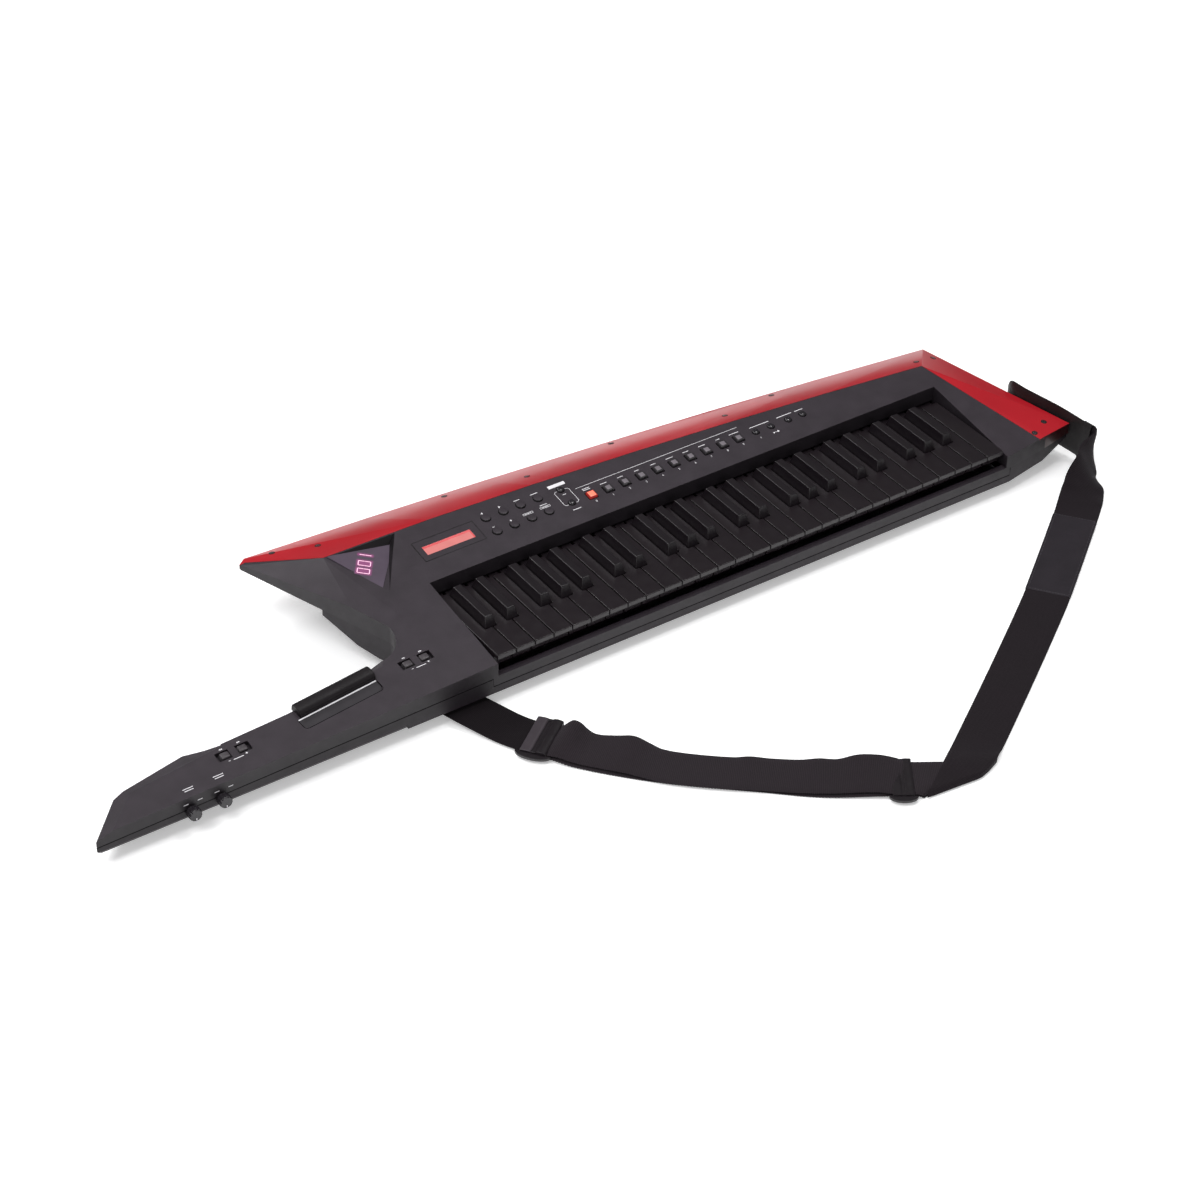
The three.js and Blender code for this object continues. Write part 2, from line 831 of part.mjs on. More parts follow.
const controlSets = {
  round_buttons: { spots: roundSpots, cap: roundCap, reach: roundRadius },
  select_buttons: {
    spots: selectSpots,
    cap: (grow) => domeCap(grow, selectRadius, selectRise),
    reach: selectRadius,
  },
  tone_pads: { spots: padSpots, cap: padCap, reach: padSize / 2 },
  function_buttons: {
    spots: domeSpots,
    cap: (grow) => domeCap(grow, domeRadius, domeRise),
    reach: domeRadius,
  },
};

// The caps of one set, joined by the carrier that holds them under the panel
function controls({ spots, cap, reach }) {
  const xs = spots.map(([x]) => x);
  const ys = spots.map(([, y]) => y);
  const margin = reach + carrierMargin;
  const carrier = layer(
    rectangle(
      Math.min(...xs) - margin, Math.max(...xs) + margin,
      Math.min(...ys) - margin, Math.max(...ys) + margin,
    ),
    wall + buttonGap,
    carrierThickness,
  );
  const above = layer(
    rectangle(0, keyboardWidth, 0, backCorner.y * 2),
    -overcut,
    overcut + wall + buttonGap + carrierThickness / 2,
  );
  const caps = joined(spots.map(([x, y]) => cap(0)(panelFrame(x, y))));
  return carrier.add(caps.intersect(above));
}

function controlHoles() {
  return joined(Object.values(controlSets).flatMap(({ spots, cap }) =>
    spots.map(([x, y]) => cap(buttonGap)(panelFrame(x, y)))));
}

// Character display in a shallow recess of the panel
const lcdFrame = panelFrame(lcdStartX + lcdWidth / 2, (frontRowY + backRowY) / 2);

function lcdPlate(grow = 0) {
  const x = lcdWidth / 2 + grow;
  const y = lcdDepth / 2 + grow;
  return block(-x, x, -y, y, -lcdThickness - grow, grow > 0 ? overcut : 0, lcdFrame);
}

// Main circuit board, hung under the panel on three bosses

function boardOutline() {
  const front = fallboardY + wall + gap;
  const backAt = (x) => ridgeY(x) - wall * 3;
  return [
    [boardLeftX, front],
    [boardRightX, front],
    [boardRightX, backAt(boardRightX)],
    [boardLeftX, backAt(boardLeftX)],
  ];
}

function boardBosses() {
  const y = fallboardY + wall + bossRadius * 2;
  return joined(bossShares.map((share) => {
    const frame = panelFrame(mix(boardLeftX, boardRightX, share), y);
    return rod(bossRadius, -boardDrop, -wall / 2, frame);
  })).intersect(layer(
    rectangle(0, keyboardWidth, 0, backCorner.y), wall / 2, boardDrop - gap - wall / 2,
  ));
}

// Knobs on the neck's front wall
const knobSpots = [0, 1].map((i) => {
  const x = neckTipX + knobStart + i * knobSpacing;
  return [x, seamZ(x, frontY) - knobDrop];
});

// A frame on an upright wall: Z points out of the wall, Y up
function wallFrame(x, y, z, outX, outY) {
  const out = new THREE.Vector3(outX, outY, 0).normalize();
  const up = new THREE.Vector3(0, 0, 1);
  const along = up.clone().cross(out);
  const matrix = new THREE.Matrix4().makeBasis(along, up, out);
  return matrix.setPosition(x, y, z);
}

const knobFrames = knobSpots.map(([x, z]) => wallFrame(x, frontY, z, 0, -1));

function knob(frame) {
  const grip = knobLength + gap * 2;
  return turned(
    [[0, -knobShaftLength], [knobShaftRadius, -knobShaftLength], [knobShaftRadius, gap * 2],
      [knobRadius, gap * 2], [knobRadius, grip * knobEdgeShares[1]],
      [knobRadius * knobEdgeShares[0], grip], [0, grip]],
    frame,
  );
}

const knobHoles = joined(knobFrames.map((frame) =>
  rod(knobShaftRadius + gap, -knobShaftLength - overcut / 4, overcut, frame)));

// The right-hand end wall, between the blade's front end and the back corner
const endWall = {
  outX: backCorner.y - bladeFrontOuter.y,
  outY: bladeFrontOuter.x - backCorner.x,
};

function pinFrame() {
  const length = Math.hypot(endWall.outX, endWall.outY);
  const inX = (endWall.outX / length) * casingInset;
  const inY = (endWall.outY / length) * casingInset;
  const x = mix(bladeFrontOuter.x, backCorner.x, pinBodyShare) - inX;
  const y = mix(bladeFrontOuter.y, backCorner.y, pinBodyShare) - inY;
  return wallFrame(x, y, -pinBodyDrop, endWall.outX, endWall.outY);
}

const bodyPinFrame = pinFrame();
const neckPinFrame = new THREE.Matrix4().makeRotationX(Math.PI)
  .setPosition(-pinNeckX, pinNeckY, -neckKneeDrop);
const pinGrip = tabThickness + gap * 2;

function strapPin(frame) {
  const foot = gap + pinBaseHeight;
  const head = foot + pinGrip;
  return turned(
    [[0, gap], [pinBaseRadius, gap], [pinBaseRadius, foot], [pinNeckRadius, foot],
      [pinNeckRadius, head], [pinHeadRadius, head],
      [pinHeadRadius, head + pinHeadHeight * pinHeadShares[1]],
      [pinHeadRadius * pinHeadShares[0], head + pinHeadHeight], [0, head + pinHeadHeight]],
    frame,
  );
}

function upperCasing() {
  const seat = bladeThickness + gap;
  const skin = seat + wall;
  const liningWall = wall * liningShare;
  const bladeSeat = bladeRegion(-gap / 2).subtract(bodyForm(seat, seat));
  const underBlade = bodyForm().intersect(bladeRegion(-gap - wall)).subtract(bodyForm(skin, skin));
  const hollow = bodyForm(wall)
    .intersect(prism(lowerPlan(wall).map(({ x, y }) => [x, y]), farBelow, farAbove))
    .subtract(notchCut(casingInset + wall))
    .subtract(underBlade)
    .subtract(wellWalls());
  const neckHollow = neckForm(wall, wall).intersect(
    block(neckTipX, -neckRootX / 2, -overcut, neckReach, farBelow, farAbove),
  );
  const rail = block(
    wellLeft - railEnd, wellRight + railEnd, frontY, frontY + railThickness,
    -railBottomDrop, -railTopDrop,
  );
  const lining = joined([
    pocket(pocketWall),
    barRecess(liningWall),
    rockerPit(octaveFrame, liningWall),
    rockerPit(programFrame, liningWall),
    boardBosses(),
  ]);
  const outer = blankForm.add(neckForm()).subtract(bladeSeat);
  const cuts = joined([
    keyWell(),
    pocket(),
    barRecess(0),
    rockerPit(octaveFrame, 0),
    rockerPit(programFrame, 0),
    controlHoles(),
    lcdPlate(gap),
    knobHoles,
  ]);
  return outer
    .subtract(hollow.add(neckHollow).subtract(lining))
    .intersect(aboveSeam())
    .add(rail)
    .subtract(cuts);
}

// Lower casing, with ribs under the key frame, the battery hatch and the socket panel's seat

const hatch = {
  x0: keyboardWidth / 2 - hatchOffset - hatchLength / 2,
  x1: keyboardWidth / 2 - hatchOffset + hatchLength / 2,
  y0: (bellyPlan.y0 + bellyPlan.y2) / 2 - hatchWidth / 2,
  y1: (bellyPlan.y0 + bellyPlan.y2) / 2 + hatchWidth / 2,
};

function hatchBlock(grow, z0, z1) {
  return block(hatch.x0 - grow, hatch.x1 + grow, hatch.y0 - grow, hatch.y1 + grow, z0, z1);
}

const hatchBottom = -bellyDrop + hatchRecess;
const hatchTop = hatchBottom + hatchThickness;

// The socket panel stands in the middle of the lower casing's back wall
function socketFrame() {
  const plan = lowerPlan();
  const end = plan[4];
  const start = plan[5];
  const x = (end.x + start.x) / 2;
  const y = (end.y + start.y) / 2;
  const middle = (seamZ(x, y) - kneeBack) / 2;
  return wallFrame(x, y, middle, start.y - end.y, end.x - start.x);
}

const socketWall = socketFrame();

function socketPlate(grow) {
  const x = socketPanelLength / 2 + grow;
  const y = socketPanelHeight / 2 + grow;
  const out = grow > 0 ? overcut : 0;
  return block(-x, x, -y, y, -socketPanelThickness - Math.min(grow, gap), out, socketWall);
}

function socketPanel() {
  const spacing = socketPanelLength / socketCount;
  const cups = Array.from({ length: socketCount }, (_, i) => {
    const x = (i - (socketCount - 1) / 2) * spacing;
    const frame = socketWall.clone().multiply(new THREE.Matrix4().makeTranslation(x, 0, 0));
    return rod(socketRadius, -socketDepth, overcut, frame, 16);
  });
  return socketPlate(0).subtract(joined(cups));
}

const frameTop = -keyDepth - frameDrop;
const frameBottom = frameTop - frameThickness;

function supportRibs() {
  const [start, end] = ribShares.map((share) => keyboardWidth * share);
  const rib = (y) => block(start, end, y, y + ribThickness, farBelow, frameBottom - gap);
  return rib(frameFrontY + ribThickness).add(rib(pivotY - ribThickness / 2));
}

function lowerCasing() {
  const outer = lowerForm().subtract(strapBay()).add(neckLowerForm());
  const inner = lowerForm(wall).subtract(strapBay(wall)).add(neckLowerForm(wall));
  const backing = socketPlate(wall);
  const hatchFrame = hatchBlock(hatchLip, farBelow, hatchTop + gap + wall / 2);
  const railNotch = block(
    wellLeft - railEnd - gap, wellRight + railEnd + gap, -overcut, frontY + railThickness + gap,
    -railBottomDrop - gap, overcut,
  );
  return outer
    .subtract(inner.subtract(joined([supportRibs(), hatchFrame, backing])))
    .subtract(aboveSeam(-gap))
    .subtract(hatchBlock(gap, farBelow, hatchTop + gap))
    .subtract(hatchBlock(-hatchLip, farBelow, hatchTop + overcut / 4))
    .subtract(socketPlate(gap))
    .subtract(railNotch)
    .subtract(knobHoles);
}

// Key frame: the plate under the keys, with the rail that they rock on
function keyFrame() {
  const inset = gap * 2;
  const plate = block(
    wellLeft + inset, wellRight - inset, frameFrontY, tailEnd + cheekGap / 2,
    frameBottom, frameTop,
  );
  const rail = block(
    wellLeft + inset, wellRight - inset, pivotY - pivotRailWidth / 2, pivotY + pivotRailWidth / 2,
    frameBottom, -keyDepth - gap,
  );
  return plate.add(rail);
}

// Keys. A sharp stands after each natural whose place in the octave is listed here,
// at its share of the pitch off the joint between the two naturals
const sharpShares = { 0: -0.09, 1: 0.09, 3: -0.12, 4: 0, 5: 0.12 };
const naturalsPerOctave = 7;
const octaveCount = (naturalCount - 1) / naturalsPerOctave;

function sharpCentre(index) {
  const share = sharpShares[index % naturalsPerOctave];
  const last = index >= naturalCount - 1 || index < 0;
  return share === undefined || last ? null : (index + 1 + share) * naturalPitch;
}

function naturalKey(index) {
  const x0 = index * naturalPitch + keyGap / 2;
  const x1 = (index + 1) * naturalPitch - keyGap / 2;
  const cover = block(x0, x1, 0, naturalLength, -naturalLip, 0);
  const core = block(x0, x1, lipOverhang, tailEnd, -keyDepth, -naturalLip);
  const slots = [sharpCentre(index - 1), sharpCentre(index)]
    .filter((centre) => centre !== null)
    .map((centre) => block(
      centre - sharpSlot / 2, centre + sharpSlot / 2, sharpFront - keyGap, tailEnd + wall,
      farBelow, wall,
    ));
  return slots.reduce((key, slot) => key.subtract(slot), cover.add(core));
}

function sharpKey(centre) {
  const back = naturalLength - sharpBackSetback;
  const half = sharpBaseWidth / 2;
  const top = sharpTopWidth / 2;
  const body = hull([
    ...rectangle(centre - half, centre + half, sharpFront, back)
      .flatMap(([x, y]) => [[x, y, -keyDepth / 2], [x, y, 0]]),
    ...rectangle(centre - top, centre + top, sharpFront + sharpFrontSlope, back - sharpRearSlope)
      .map(([x, y]) => [x, y, sharpRise]),
  ]);
  const core = block(
    centre - top, centre + top, sharpFront + sharpFrontSlope, tailEnd, -keyDepth, -naturalLip,
  );
  const stem = block(
    centre - top, centre + top, tailEnd - spineDepth, tailEnd,
    -keyDepth - spineDrop - spineHeight, -naturalLip,
  );
  return joined([body, core, stem]);
}

function sharpsOfOctave(octave) {
  const centres = Array.from({ length: naturalsPerOctave }, (_, i) =>
    sharpCentre(octave * naturalsPerOctave + i)).filter((centre) => centre !== null);
  const spine = block(
    centres[0], centres[centres.length - 1], tailEnd - spineDepth, tailEnd,
    -keyDepth - spineDrop - spineHeight, -keyDepth - spineDrop,
  );
  return joined([...centres.map(sharpKey), spine]);
}

// Modulation bar: a D-shaped bar that rocks on its front lower edge
function modulationBar() {
  const half = barWidth / 2;
  const section = new THREE.Shape();
  section.moveTo(-half, -barSink);
  section.lineTo(half, -barSink);
  const curve = barCurveShares.map(([across, up]) => [half * across, barHeight * up]);
  section.lineTo(...curve[0]);
  section.bezierCurveTo(...curve[1], ...curve[2], ...curve[3]);
  section.bezierCurveTo(...curve[4], ...curve[5], ...curve[6]);
  const geometry = new THREE.ExtrudeGeometry(section, {
    depth: barLength,
    bevelEnabled: false,
    curveSegments: 6,
  });
  const turn = new THREE.Matrix4().makeBasis(
    new THREE.Vector3(0, 1, 0), new THREE.Vector3(0, 0, 1), new THREE.Vector3(1, 0, 0),
  );
  geometry.applyMatrix4(turn);
  geometry.translate(-barLength / 2, 0, 0);
  geometry.applyMatrix4(barFrame);
  return solidOf(geometry);
}

function ribbonStrip() {
  return prism(ribbonOutline(0), -ribbonSink - ribbonThickness, -ribbonSink, barFrame);
}

function displayLens() {
  const floor = pocketFloor();
  const side = ridgeLeftX * 2;
  return pocket(-gap * 2).intersect(slab(
    -side, side, 0, backCorner.y * 2, lowered(floor, -gap), lowered(floor, -gap - lensThickness),
  ));
}

// The leather end tab's frame on the right-hand pin, a little lower towards the front, and
// the middle of the end that the webbing is sewn to
const tabFrame = bodyPinFrame.clone()
  .multiply(new THREE.Matrix4().makeTranslation(0, 0, gap * 2 + pinBaseHeight))
  .multiply(new THREE.Matrix4().makeRotationZ(tabTiltAngle));

const onTab = (reach) =>
  new THREE.Vector3(-tabFrontReach - reach, tabOffset, tabThickness / 2).applyMatrix4(tabFrame);

const strapReachX = onTab(0).x + pinNeckX;

// The last two points of the webbing, in line with the tab
const tabTail = [webbingWidth * tabTailShare, gap].map(onTab);

// Strap: flat webbing that leaves the neck's pin, lies on the floor in front of the body,
// turns back and climbs to the pin on the right-hand end. Each station of a run is a share
// of the strap's reach in X and Y, a lift off the floor and a turn about its own length.

const floorZ = -bellyDrop;

function webbing(stations, thickness, tail = [], width = webbingWidth) {
  const centres = stations.map(([sx, sy, lift, turn]) => {
    const angle = THREE.MathUtils.DEG2RAD * turn;
    const rise = (Math.sin(angle) * width + Math.cos(angle) * thickness) / 2;
    return new THREE.Vector3(
      -pinNeckX + sx * strapReachX, pinNeckY + sy * strapReachY, floorZ + lift + rise,
    );
  }).concat(tail);
  const positions = [];
  centres.forEach((centre, i) => {
    const before = centres[Math.max(i - 1, 0)];
    const after = centres[Math.min(i + 1, centres.length - 1)];
    const tangent = after.clone().sub(before).normalize();
    const level = new THREE.Vector3(tangent.y, -tangent.x, 0).normalize();
    const turn = i < stations.length ? stations[i][3] : uprightAngle;
    const side = level.applyAxisAngle(tangent, THREE.MathUtils.DEG2RAD * turn);
    const face = side.clone().cross(tangent).normalize();
    [[-1, -1], [1, -1], [1, 1], [-1, 1]].forEach(([across, up]) => {
      const corner = centre.clone()
        .addScaledVector(side, (across * width) / 2)
        .addScaledVector(face, (up * thickness) / 2);
      positions.push(corner);
    });
  });
  const quads = [[0, 1, 2, 3]];
  for (let i = 0; i < centres.length - 1; i += 1) {
    const a = i * 4;
    for (let k = 0; k < 4; k += 1) {
      const next = (k + 1) % 4;
      quads.push([a + k, a + 4 + k, a + 4 + next, a + next]);
    }
  }
  const end = (centres.length - 1) * 4;
  quads.push([end + 3, end + 2, end + 1, end]);
  const geometry = new THREE.BufferGeometry().setFromPoints(positions);
  geometry.setIndex(quads.flatMap(([a, b, c, d]) => [a, b, c, a, c, d]));
  return solidOf(geometry);
}

const sliderLift = sliderWall + gap;
const uprightAngle = 90;

const neckRunShares = [
  [-0.02, 0.055, neckStrapLift, 0],
  [0.012, -0.02, neckStrapLift, 0],
  [0.036, -0.14, strapRise, 0],
  [0.055, -0.225, sliderLift, 0],
  [0.074, -0.312, sliderLift, 0],
];

const middleRunShares = [
  [0.07413, -0.31275, sliderLift, 0],
  [0.092, -0.395, sliderLift, 0],
  [0.118, -0.485, 0, 0],
  [0.163, -0.585, 0, 0],
  [0.212, -0.696, 0, 0],
  [0.258, -0.792, 0, 0],
  [0.305, -0.865, 0, 0],
  [0.345, -0.925, sliderLift, 0],
  [0.392, -0.995, sliderLift, 0],
  [0.42, -1.037, 0, 0],
];

const bodyRunShares = [
  [0.432, -1.045, foldLift, 0],
  [0.47, -0.985, foldLift, 0],
  [0.515, -0.91, 0, 0],
  [0.6, -0.79, 0, 0],
  [0.7, -0.65, 0, 0],
  [0.8, -0.512, 0, 0],
  [0.9, -0.372, 0, 0],
  [0.955, -0.292, 0, 14],
  [0.981, -0.24, 0, 40],
  [0.9925, -0.19, strapRise / 3, 68],
];

// A rectangular loop round a run, midway between two of its stations
function slider(run, index, thickness) {
  const [a, b] = [run[index], run[index + 1]];
  const x = -pinNeckX + ((a[0] + b[0]) / 2) * strapReachX;
  const y = pinNeckY + ((a[1] + b[1]) / 2) * strapReachY;
  const turn = Math.atan2((b[1] - a[1]) * strapReachY, (b[0] - a[0]) * strapReachX);
  const frame = new THREE.Matrix4().makeRotationZ(turn).setPosition(x, y, floorZ);
  const half = webbingWidth / 2 + gap;
  const outer = half + sliderWall * sliderSideShare;
  const top = sliderWall * 2 + gap * 2 + thickness;
  return block(-sliderLength / 2, sliderLength / 2, -outer, outer, 0, top, frame).subtract(
    block(-sliderLength, sliderLength, -half, half, sliderWall, top - sliderWall, frame),
  );
}

function strapTab() {
  const half = webbingWidth / 2;
  const round = webbingWidth * tabCornerShare;
  const x0 = -tabFrontReach;
  const x1 = tabBackReach;
  const outline = [
    [x0, tabOffset - half],
    [x1 - round, tabOffset - half],
    [x1, tabOffset - half + round],
    [x1, tabOffset + half - round],
    [x1 - round, tabOffset + half],
    [x0, tabOffset + half],
  ];
  return prism(outline, 0, tabThickness, tabFrame).subtract(
    rod(pinNeckRadius + gap, -overcut, overcut, bodyPinFrame),
  );
}

function neckWebbing() {
  return webbing(neckRunShares, webbingThickness).subtract(
    rod(pinNeckRadius + gap, -overcut, overcut, neckPinFrame),
  );
}

place("upper_casing", upperCasing(), charcoal, 0.55);
place("lower_casing", lowerCasing(), charcoal, 0.6);
place("edge_blade", edgeBlade(), bladeRed, 0.25);
place("key_frame", keyFrame(), steel, 0.5, 0.6);
place("main_board", layer(boardOutline(), boardDrop, boardThickness), boardGreen, 0.6);
place("character_display", lcdPlate(), lensRed, 0.2);
place("digit_display_lens", displayLens(), controlBlack, 0.15);
place("touch_ribbon", ribbonStrip(), controlBlack, 0.5);
place("modulation_bar", modulationBar(), controlBlack, 0.4);
place("octave_rocker", rocker(octaveFrame), controlBlack, 0.5);
place("program_rocker", rocker(programFrame), controlBlack, 0.5);
place("volume_knob", knob(knobFrames[0]), controlBlack, 0.45);
place("control_knob", knob(knobFrames[1]), controlBlack, 0.45);
Object.entries(controlSets).forEach(([name, set]) => {
  place(name, controls(set), controlBlack, 0.4);
});
place("battery_cover", hatchBlock(0, hatchBottom, hatchTop), charcoal, 0.6);
place("socket_panel", socketPanel(), controlBlack, 0.5);
place("body_strap_pin", strapPin(bodyPinFrame), steel, 0.3, 1);
place("neck_strap_pin", strapPin(neckPinFrame), steel, 0.3, 1);
place("strap_tab", strapTab(), webbingBlack, 0.6);
place("neck_webbing", neckWebbing(), webbingBlack, 0.95);
place("middle_webbing", webbing(middleRunShares, doubledThickness), webbingBlack, 0.95);
place("body_webbing", webbing(bodyRunShares, webbingThickness, tabTail), webbingBlack, 0.95);
place("neck_slider", slider(middleRunShares, 0, doubledThickness), controlBlack, 0.4);
place("body_slider", slider(middleRunShares, 7, doubledThickness), controlBlack, 0.4);
for (let i = 0; i < naturalCount; i += 1) {
  place(`natural_key_${String(i + 1).padStart(2, "0")}`, naturalKey(i), keyBlack, 0.45);
}
for (let i = 0; i < octaveCount; i += 1) {
  place(`sharp_keys_${i + 1}`, sharpsOfOctave(i), keyBlack, 0.3);
}

const bellyMiddleY = (bellyPlan.y0 + bellyPlan.y2) / 2;
group.position.set(-keyboardWidth / 2, -bellyMiddleY, bellyDrop);

export default group;
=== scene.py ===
import math
from functools import cache

import bmesh
import bpy
from mathutils import Matrix, Vector

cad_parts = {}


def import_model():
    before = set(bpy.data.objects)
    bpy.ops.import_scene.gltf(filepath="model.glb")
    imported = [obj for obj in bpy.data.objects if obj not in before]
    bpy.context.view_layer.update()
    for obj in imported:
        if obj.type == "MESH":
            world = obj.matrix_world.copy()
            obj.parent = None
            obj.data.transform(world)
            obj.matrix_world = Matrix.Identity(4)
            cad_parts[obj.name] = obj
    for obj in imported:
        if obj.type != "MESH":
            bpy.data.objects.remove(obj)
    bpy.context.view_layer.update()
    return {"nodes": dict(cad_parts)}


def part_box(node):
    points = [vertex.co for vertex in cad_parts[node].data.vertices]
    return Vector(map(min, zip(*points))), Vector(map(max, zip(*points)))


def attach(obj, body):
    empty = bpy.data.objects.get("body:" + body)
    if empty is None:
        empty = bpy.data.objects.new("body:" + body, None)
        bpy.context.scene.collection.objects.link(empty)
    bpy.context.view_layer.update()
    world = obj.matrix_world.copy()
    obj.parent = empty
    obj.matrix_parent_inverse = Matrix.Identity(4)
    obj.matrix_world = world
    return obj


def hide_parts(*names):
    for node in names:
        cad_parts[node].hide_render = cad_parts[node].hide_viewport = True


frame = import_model()

# A keytar with its strap laid in front of it. The drawing numbers below are millimetres in
# the keyboard's own frame: X from the low key's side, Y from the key fronts, Z from the tops
# of the naturals. at() puts them in the scene, in metres.

MM = 0.001
HALF_KEY_GAP = 0.5
first_low, first_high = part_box("natural_key_01")
ORIGIN = Vector((first_low.x - HALF_KEY_GAP * MM, first_low.y, first_high.z))
KEY_COUNT = 29
SHARP_COMBS = 4
PANEL_DROP = 5.4
PANEL_SLOPE = 0.155
NECK_SLOPE = 0.027
NECK_WALL_Y = -5.0
FLOOR = -57.0


def at(x, y, z):
    return ORIGIN + Vector((x, y, z)) * MM


def frame_of(origin, along, normal):
    """A frame in metres with X along, Z along normal."""
    z = Vector(normal).normalized()
    x = Vector(along)
    x = (x - z * x.dot(z)).normalized()
    made = Matrix((x, z.cross(x), z)).transposed().to_4x4()
    made.translation = origin
    return made


def panel_frame(x, y, turn=0.0):
    """The frame of the sloping panel, or of the neck where x is under 0, at a plan point."""
    slope = NECK_SLOPE if x < 0 else 0.0
    z = -PANEL_DROP + PANEL_SLOPE * y + slope * x
    made = frame_of(at(x, y, z), (1, 0, slope), (-slope, -PANEL_SLOPE, 1))
    return made @ Matrix.Rotation(math.radians(turn), 4, "Z")


# Materials

def colour(r, g, b):
    """A colour given as it looks on a screen, from 0 to 255, in linear light."""
    shares = [value / 255 for value in (r, g, b)]
    return (*(s / 12.92 if s <= 0.04045 else ((s + 0.055) / 1.055) ** 2.4 for s in shares), 1.0)


class Nodes:
    """Short ways to build one material's node tree."""

    def __init__(self, name):
        self.material = bpy.data.materials.new(name)
        self.material.use_nodes = True
        self.tree = self.material.node_tree
        self.shader = self.tree.nodes["Principled BSDF"]
        self.coords = self.add("ShaderNodeTexCoord")

    def add(self, kind, **values):
        """A node with its settings and the values of its inputs."""
        node = self.tree.nodes.new(kind)
        for key, value in values.items():
            if hasattr(node, key):
                setattr(node, key, value)
            else:
                node.inputs[key.replace("_", " ")].default_value = value
        return node

    def link(self, source, target):
        self.tree.links.new(source, target)

    def where(self, source="Object", scale=(1, 1, 1)):
        mapping = self.add("ShaderNodeMapping", Scale=scale)
        self.link(self.coords.outputs[source], mapping.inputs["Vector"])
        return mapping.outputs["Vector"]

    def axes(self, source):
        """The X, Y and Z of a texture coordinate."""
        node = self.add("ShaderNodeSeparateXYZ")
        self.link(self.coords.outputs[source], node.inputs["Vector"])
        return node.outputs

    def noise(self, scale, detail=3.0, rough=0.55, vector=None):
        node = self.add("ShaderNodeTexNoise", Scale=scale, Detail=detail, Roughness=rough)
        self.link(vector or self.coords.outputs["Object"], node.inputs["Vector"])
        return node.outputs["Fac"]

    def wave(self, way, scale, distortion, detail):
        node = self.add("ShaderNodeTexWave", bands_direction=way, Scale=1.0,
                        Distortion=distortion, Detail=detail)
        self.link(self.where("UV", scale), node.inputs["Vector"])
        return node.outputs["Fac"]

    def ramp(self, source, *stops):
        """A blend between two (place, colour) stops."""
        node = self.add("ShaderNodeValToRGB")
        for element, (place, value) in zip(node.color_ramp.elements, stops):
            element.position = place
            element.color = (*value[:3], 1.0)
        self.link(source, node.inputs["Fac"])
        return node.outputs["Color"]

    def tones(self, source, base, vary, low=0.3, high=0.7):
        """A colour that goes from darker to lighter than base by a share of it."""
        dark, light = ([min(1.0, c * (1 + k * vary)) for c in base[:3]] for k in (-1, 1))
        return self.ramp(source, (low, dark), (high, light))

    def spread(self, source, low, high, start=0.3, end=0.7):
        node = self.add("ShaderNodeMapRange", From_Min=start, From_Max=end, To_Min=low,
                        To_Max=high)
        self.link(source, node.inputs["Value"])
        return node.outputs["Result"]

    def math(self, operation, a, b):
        node = self.add("ShaderNodeMath", operation=operation)
        for socket, value in zip(node.inputs, (a, b)):
            if isinstance(value, (int, float)):
                socket.default_value = value
            else:
                self.link(value, socket)
        return node.outputs["Value"]

    def product(self, first, *others):
        for other in others:
            first = self.math("MULTIPLY", first, other)
        return first

    def less(self, share, part):
        """1 less a part of the share."""
        return self.math("SUBTRACT", 1.0, self.math("MULTIPLY", share, part))

    def multiply(self, tone, share):
        node = self.add("ShaderNodeMix", data_type="RGBA", blend_type="MULTIPLY")
        node.inputs["Factor"].default_value = 1.0
        self.link(tone, node.inputs["A"])
        self.link(share, node.inputs["B"])
        return node.outputs["Result"]

    def bump(self, source, distance, strength=1.0):
        node = self.add("ShaderNodeBump", Strength=strength, Distance=distance)
        self.link(source, node.inputs["Height"])
        return node.outputs["Normal"]

    def set(self, **values):
        for key, value in values.items():
            self.shader.inputs[key.replace("_", " ")].default_value = value

    def paint(self, base=None, rough=None, normal=None):
        for name, source in (("Base Color", base), ("Roughness", rough), ("Normal", normal)):
            if source is not None:
                self.link(source, self.shader.inputs[name])
        return self.material


def plastic(name, base, rough, grain=2600, depth=0.00003, vary=0.12, specular=0.5, shade=None):
    """Moulded plastic: fine grain, a little cloudy in colour and in gloss."""
    n = Nodes(name)
    n.set(Specular_IOR_Level=specular)
    tone = n.tones(n.noise(40, 4.0), base, vary)
    return n.paint(
        n.multiply(tone, shade(n)) if shade else tone,
        n.spread(n.noise(92, 5.0), rough - 0.05, rough + 0.05),
        n.bump(n.noise(grain, 2.0, 0.6), depth),
    )


def red_gloss():
    """Red lacquer, darkest on the wall at the blade's far end."""
    n = Nodes("blade_red")
    n.set(Specular_IOR_Level=0.4, Coat_Weight=0.1, Coat_Roughness=0.12)
    outward = n.add("ShaderNodeVectorMath", operation="DOT_PRODUCT")
    n.link(n.coords.outputs["Normal"], outward.inputs[0])
    outward.inputs[1].default_value = (-0.35, -0.937, 0)
    end_wall = n.ramp(outward.outputs["Value"], (0.55, (1, 1, 1)), (0.63, (0.06, 0.16, 0.14)))
    red = n.ramp(n.noise(7, 2.0), (0.35, colour(155, 15, 27)), (0.65, colour(172, 23, 35)))
    return n.paint(
        n.multiply(red, end_wall),
        n.spread(n.noise(40, 3.0), 0.28, 0.31),
        n.bump(n.noise(500, 1.0), 0.000004, 0.4),
    )


def brushed(name, base, rough):
    n = Nodes(name)
    streaks = n.noise(900, 3.0, 0.6, n.where(scale=(0.04, 1, 1)))
    n.set(Metallic=1.0)
    return n.paint(
        n.tones(streaks, base, 0.12),
        n.spread(streaks, rough - 0.08, rough + 0.08),
        n.bump(streaks, 0.00002),
    )


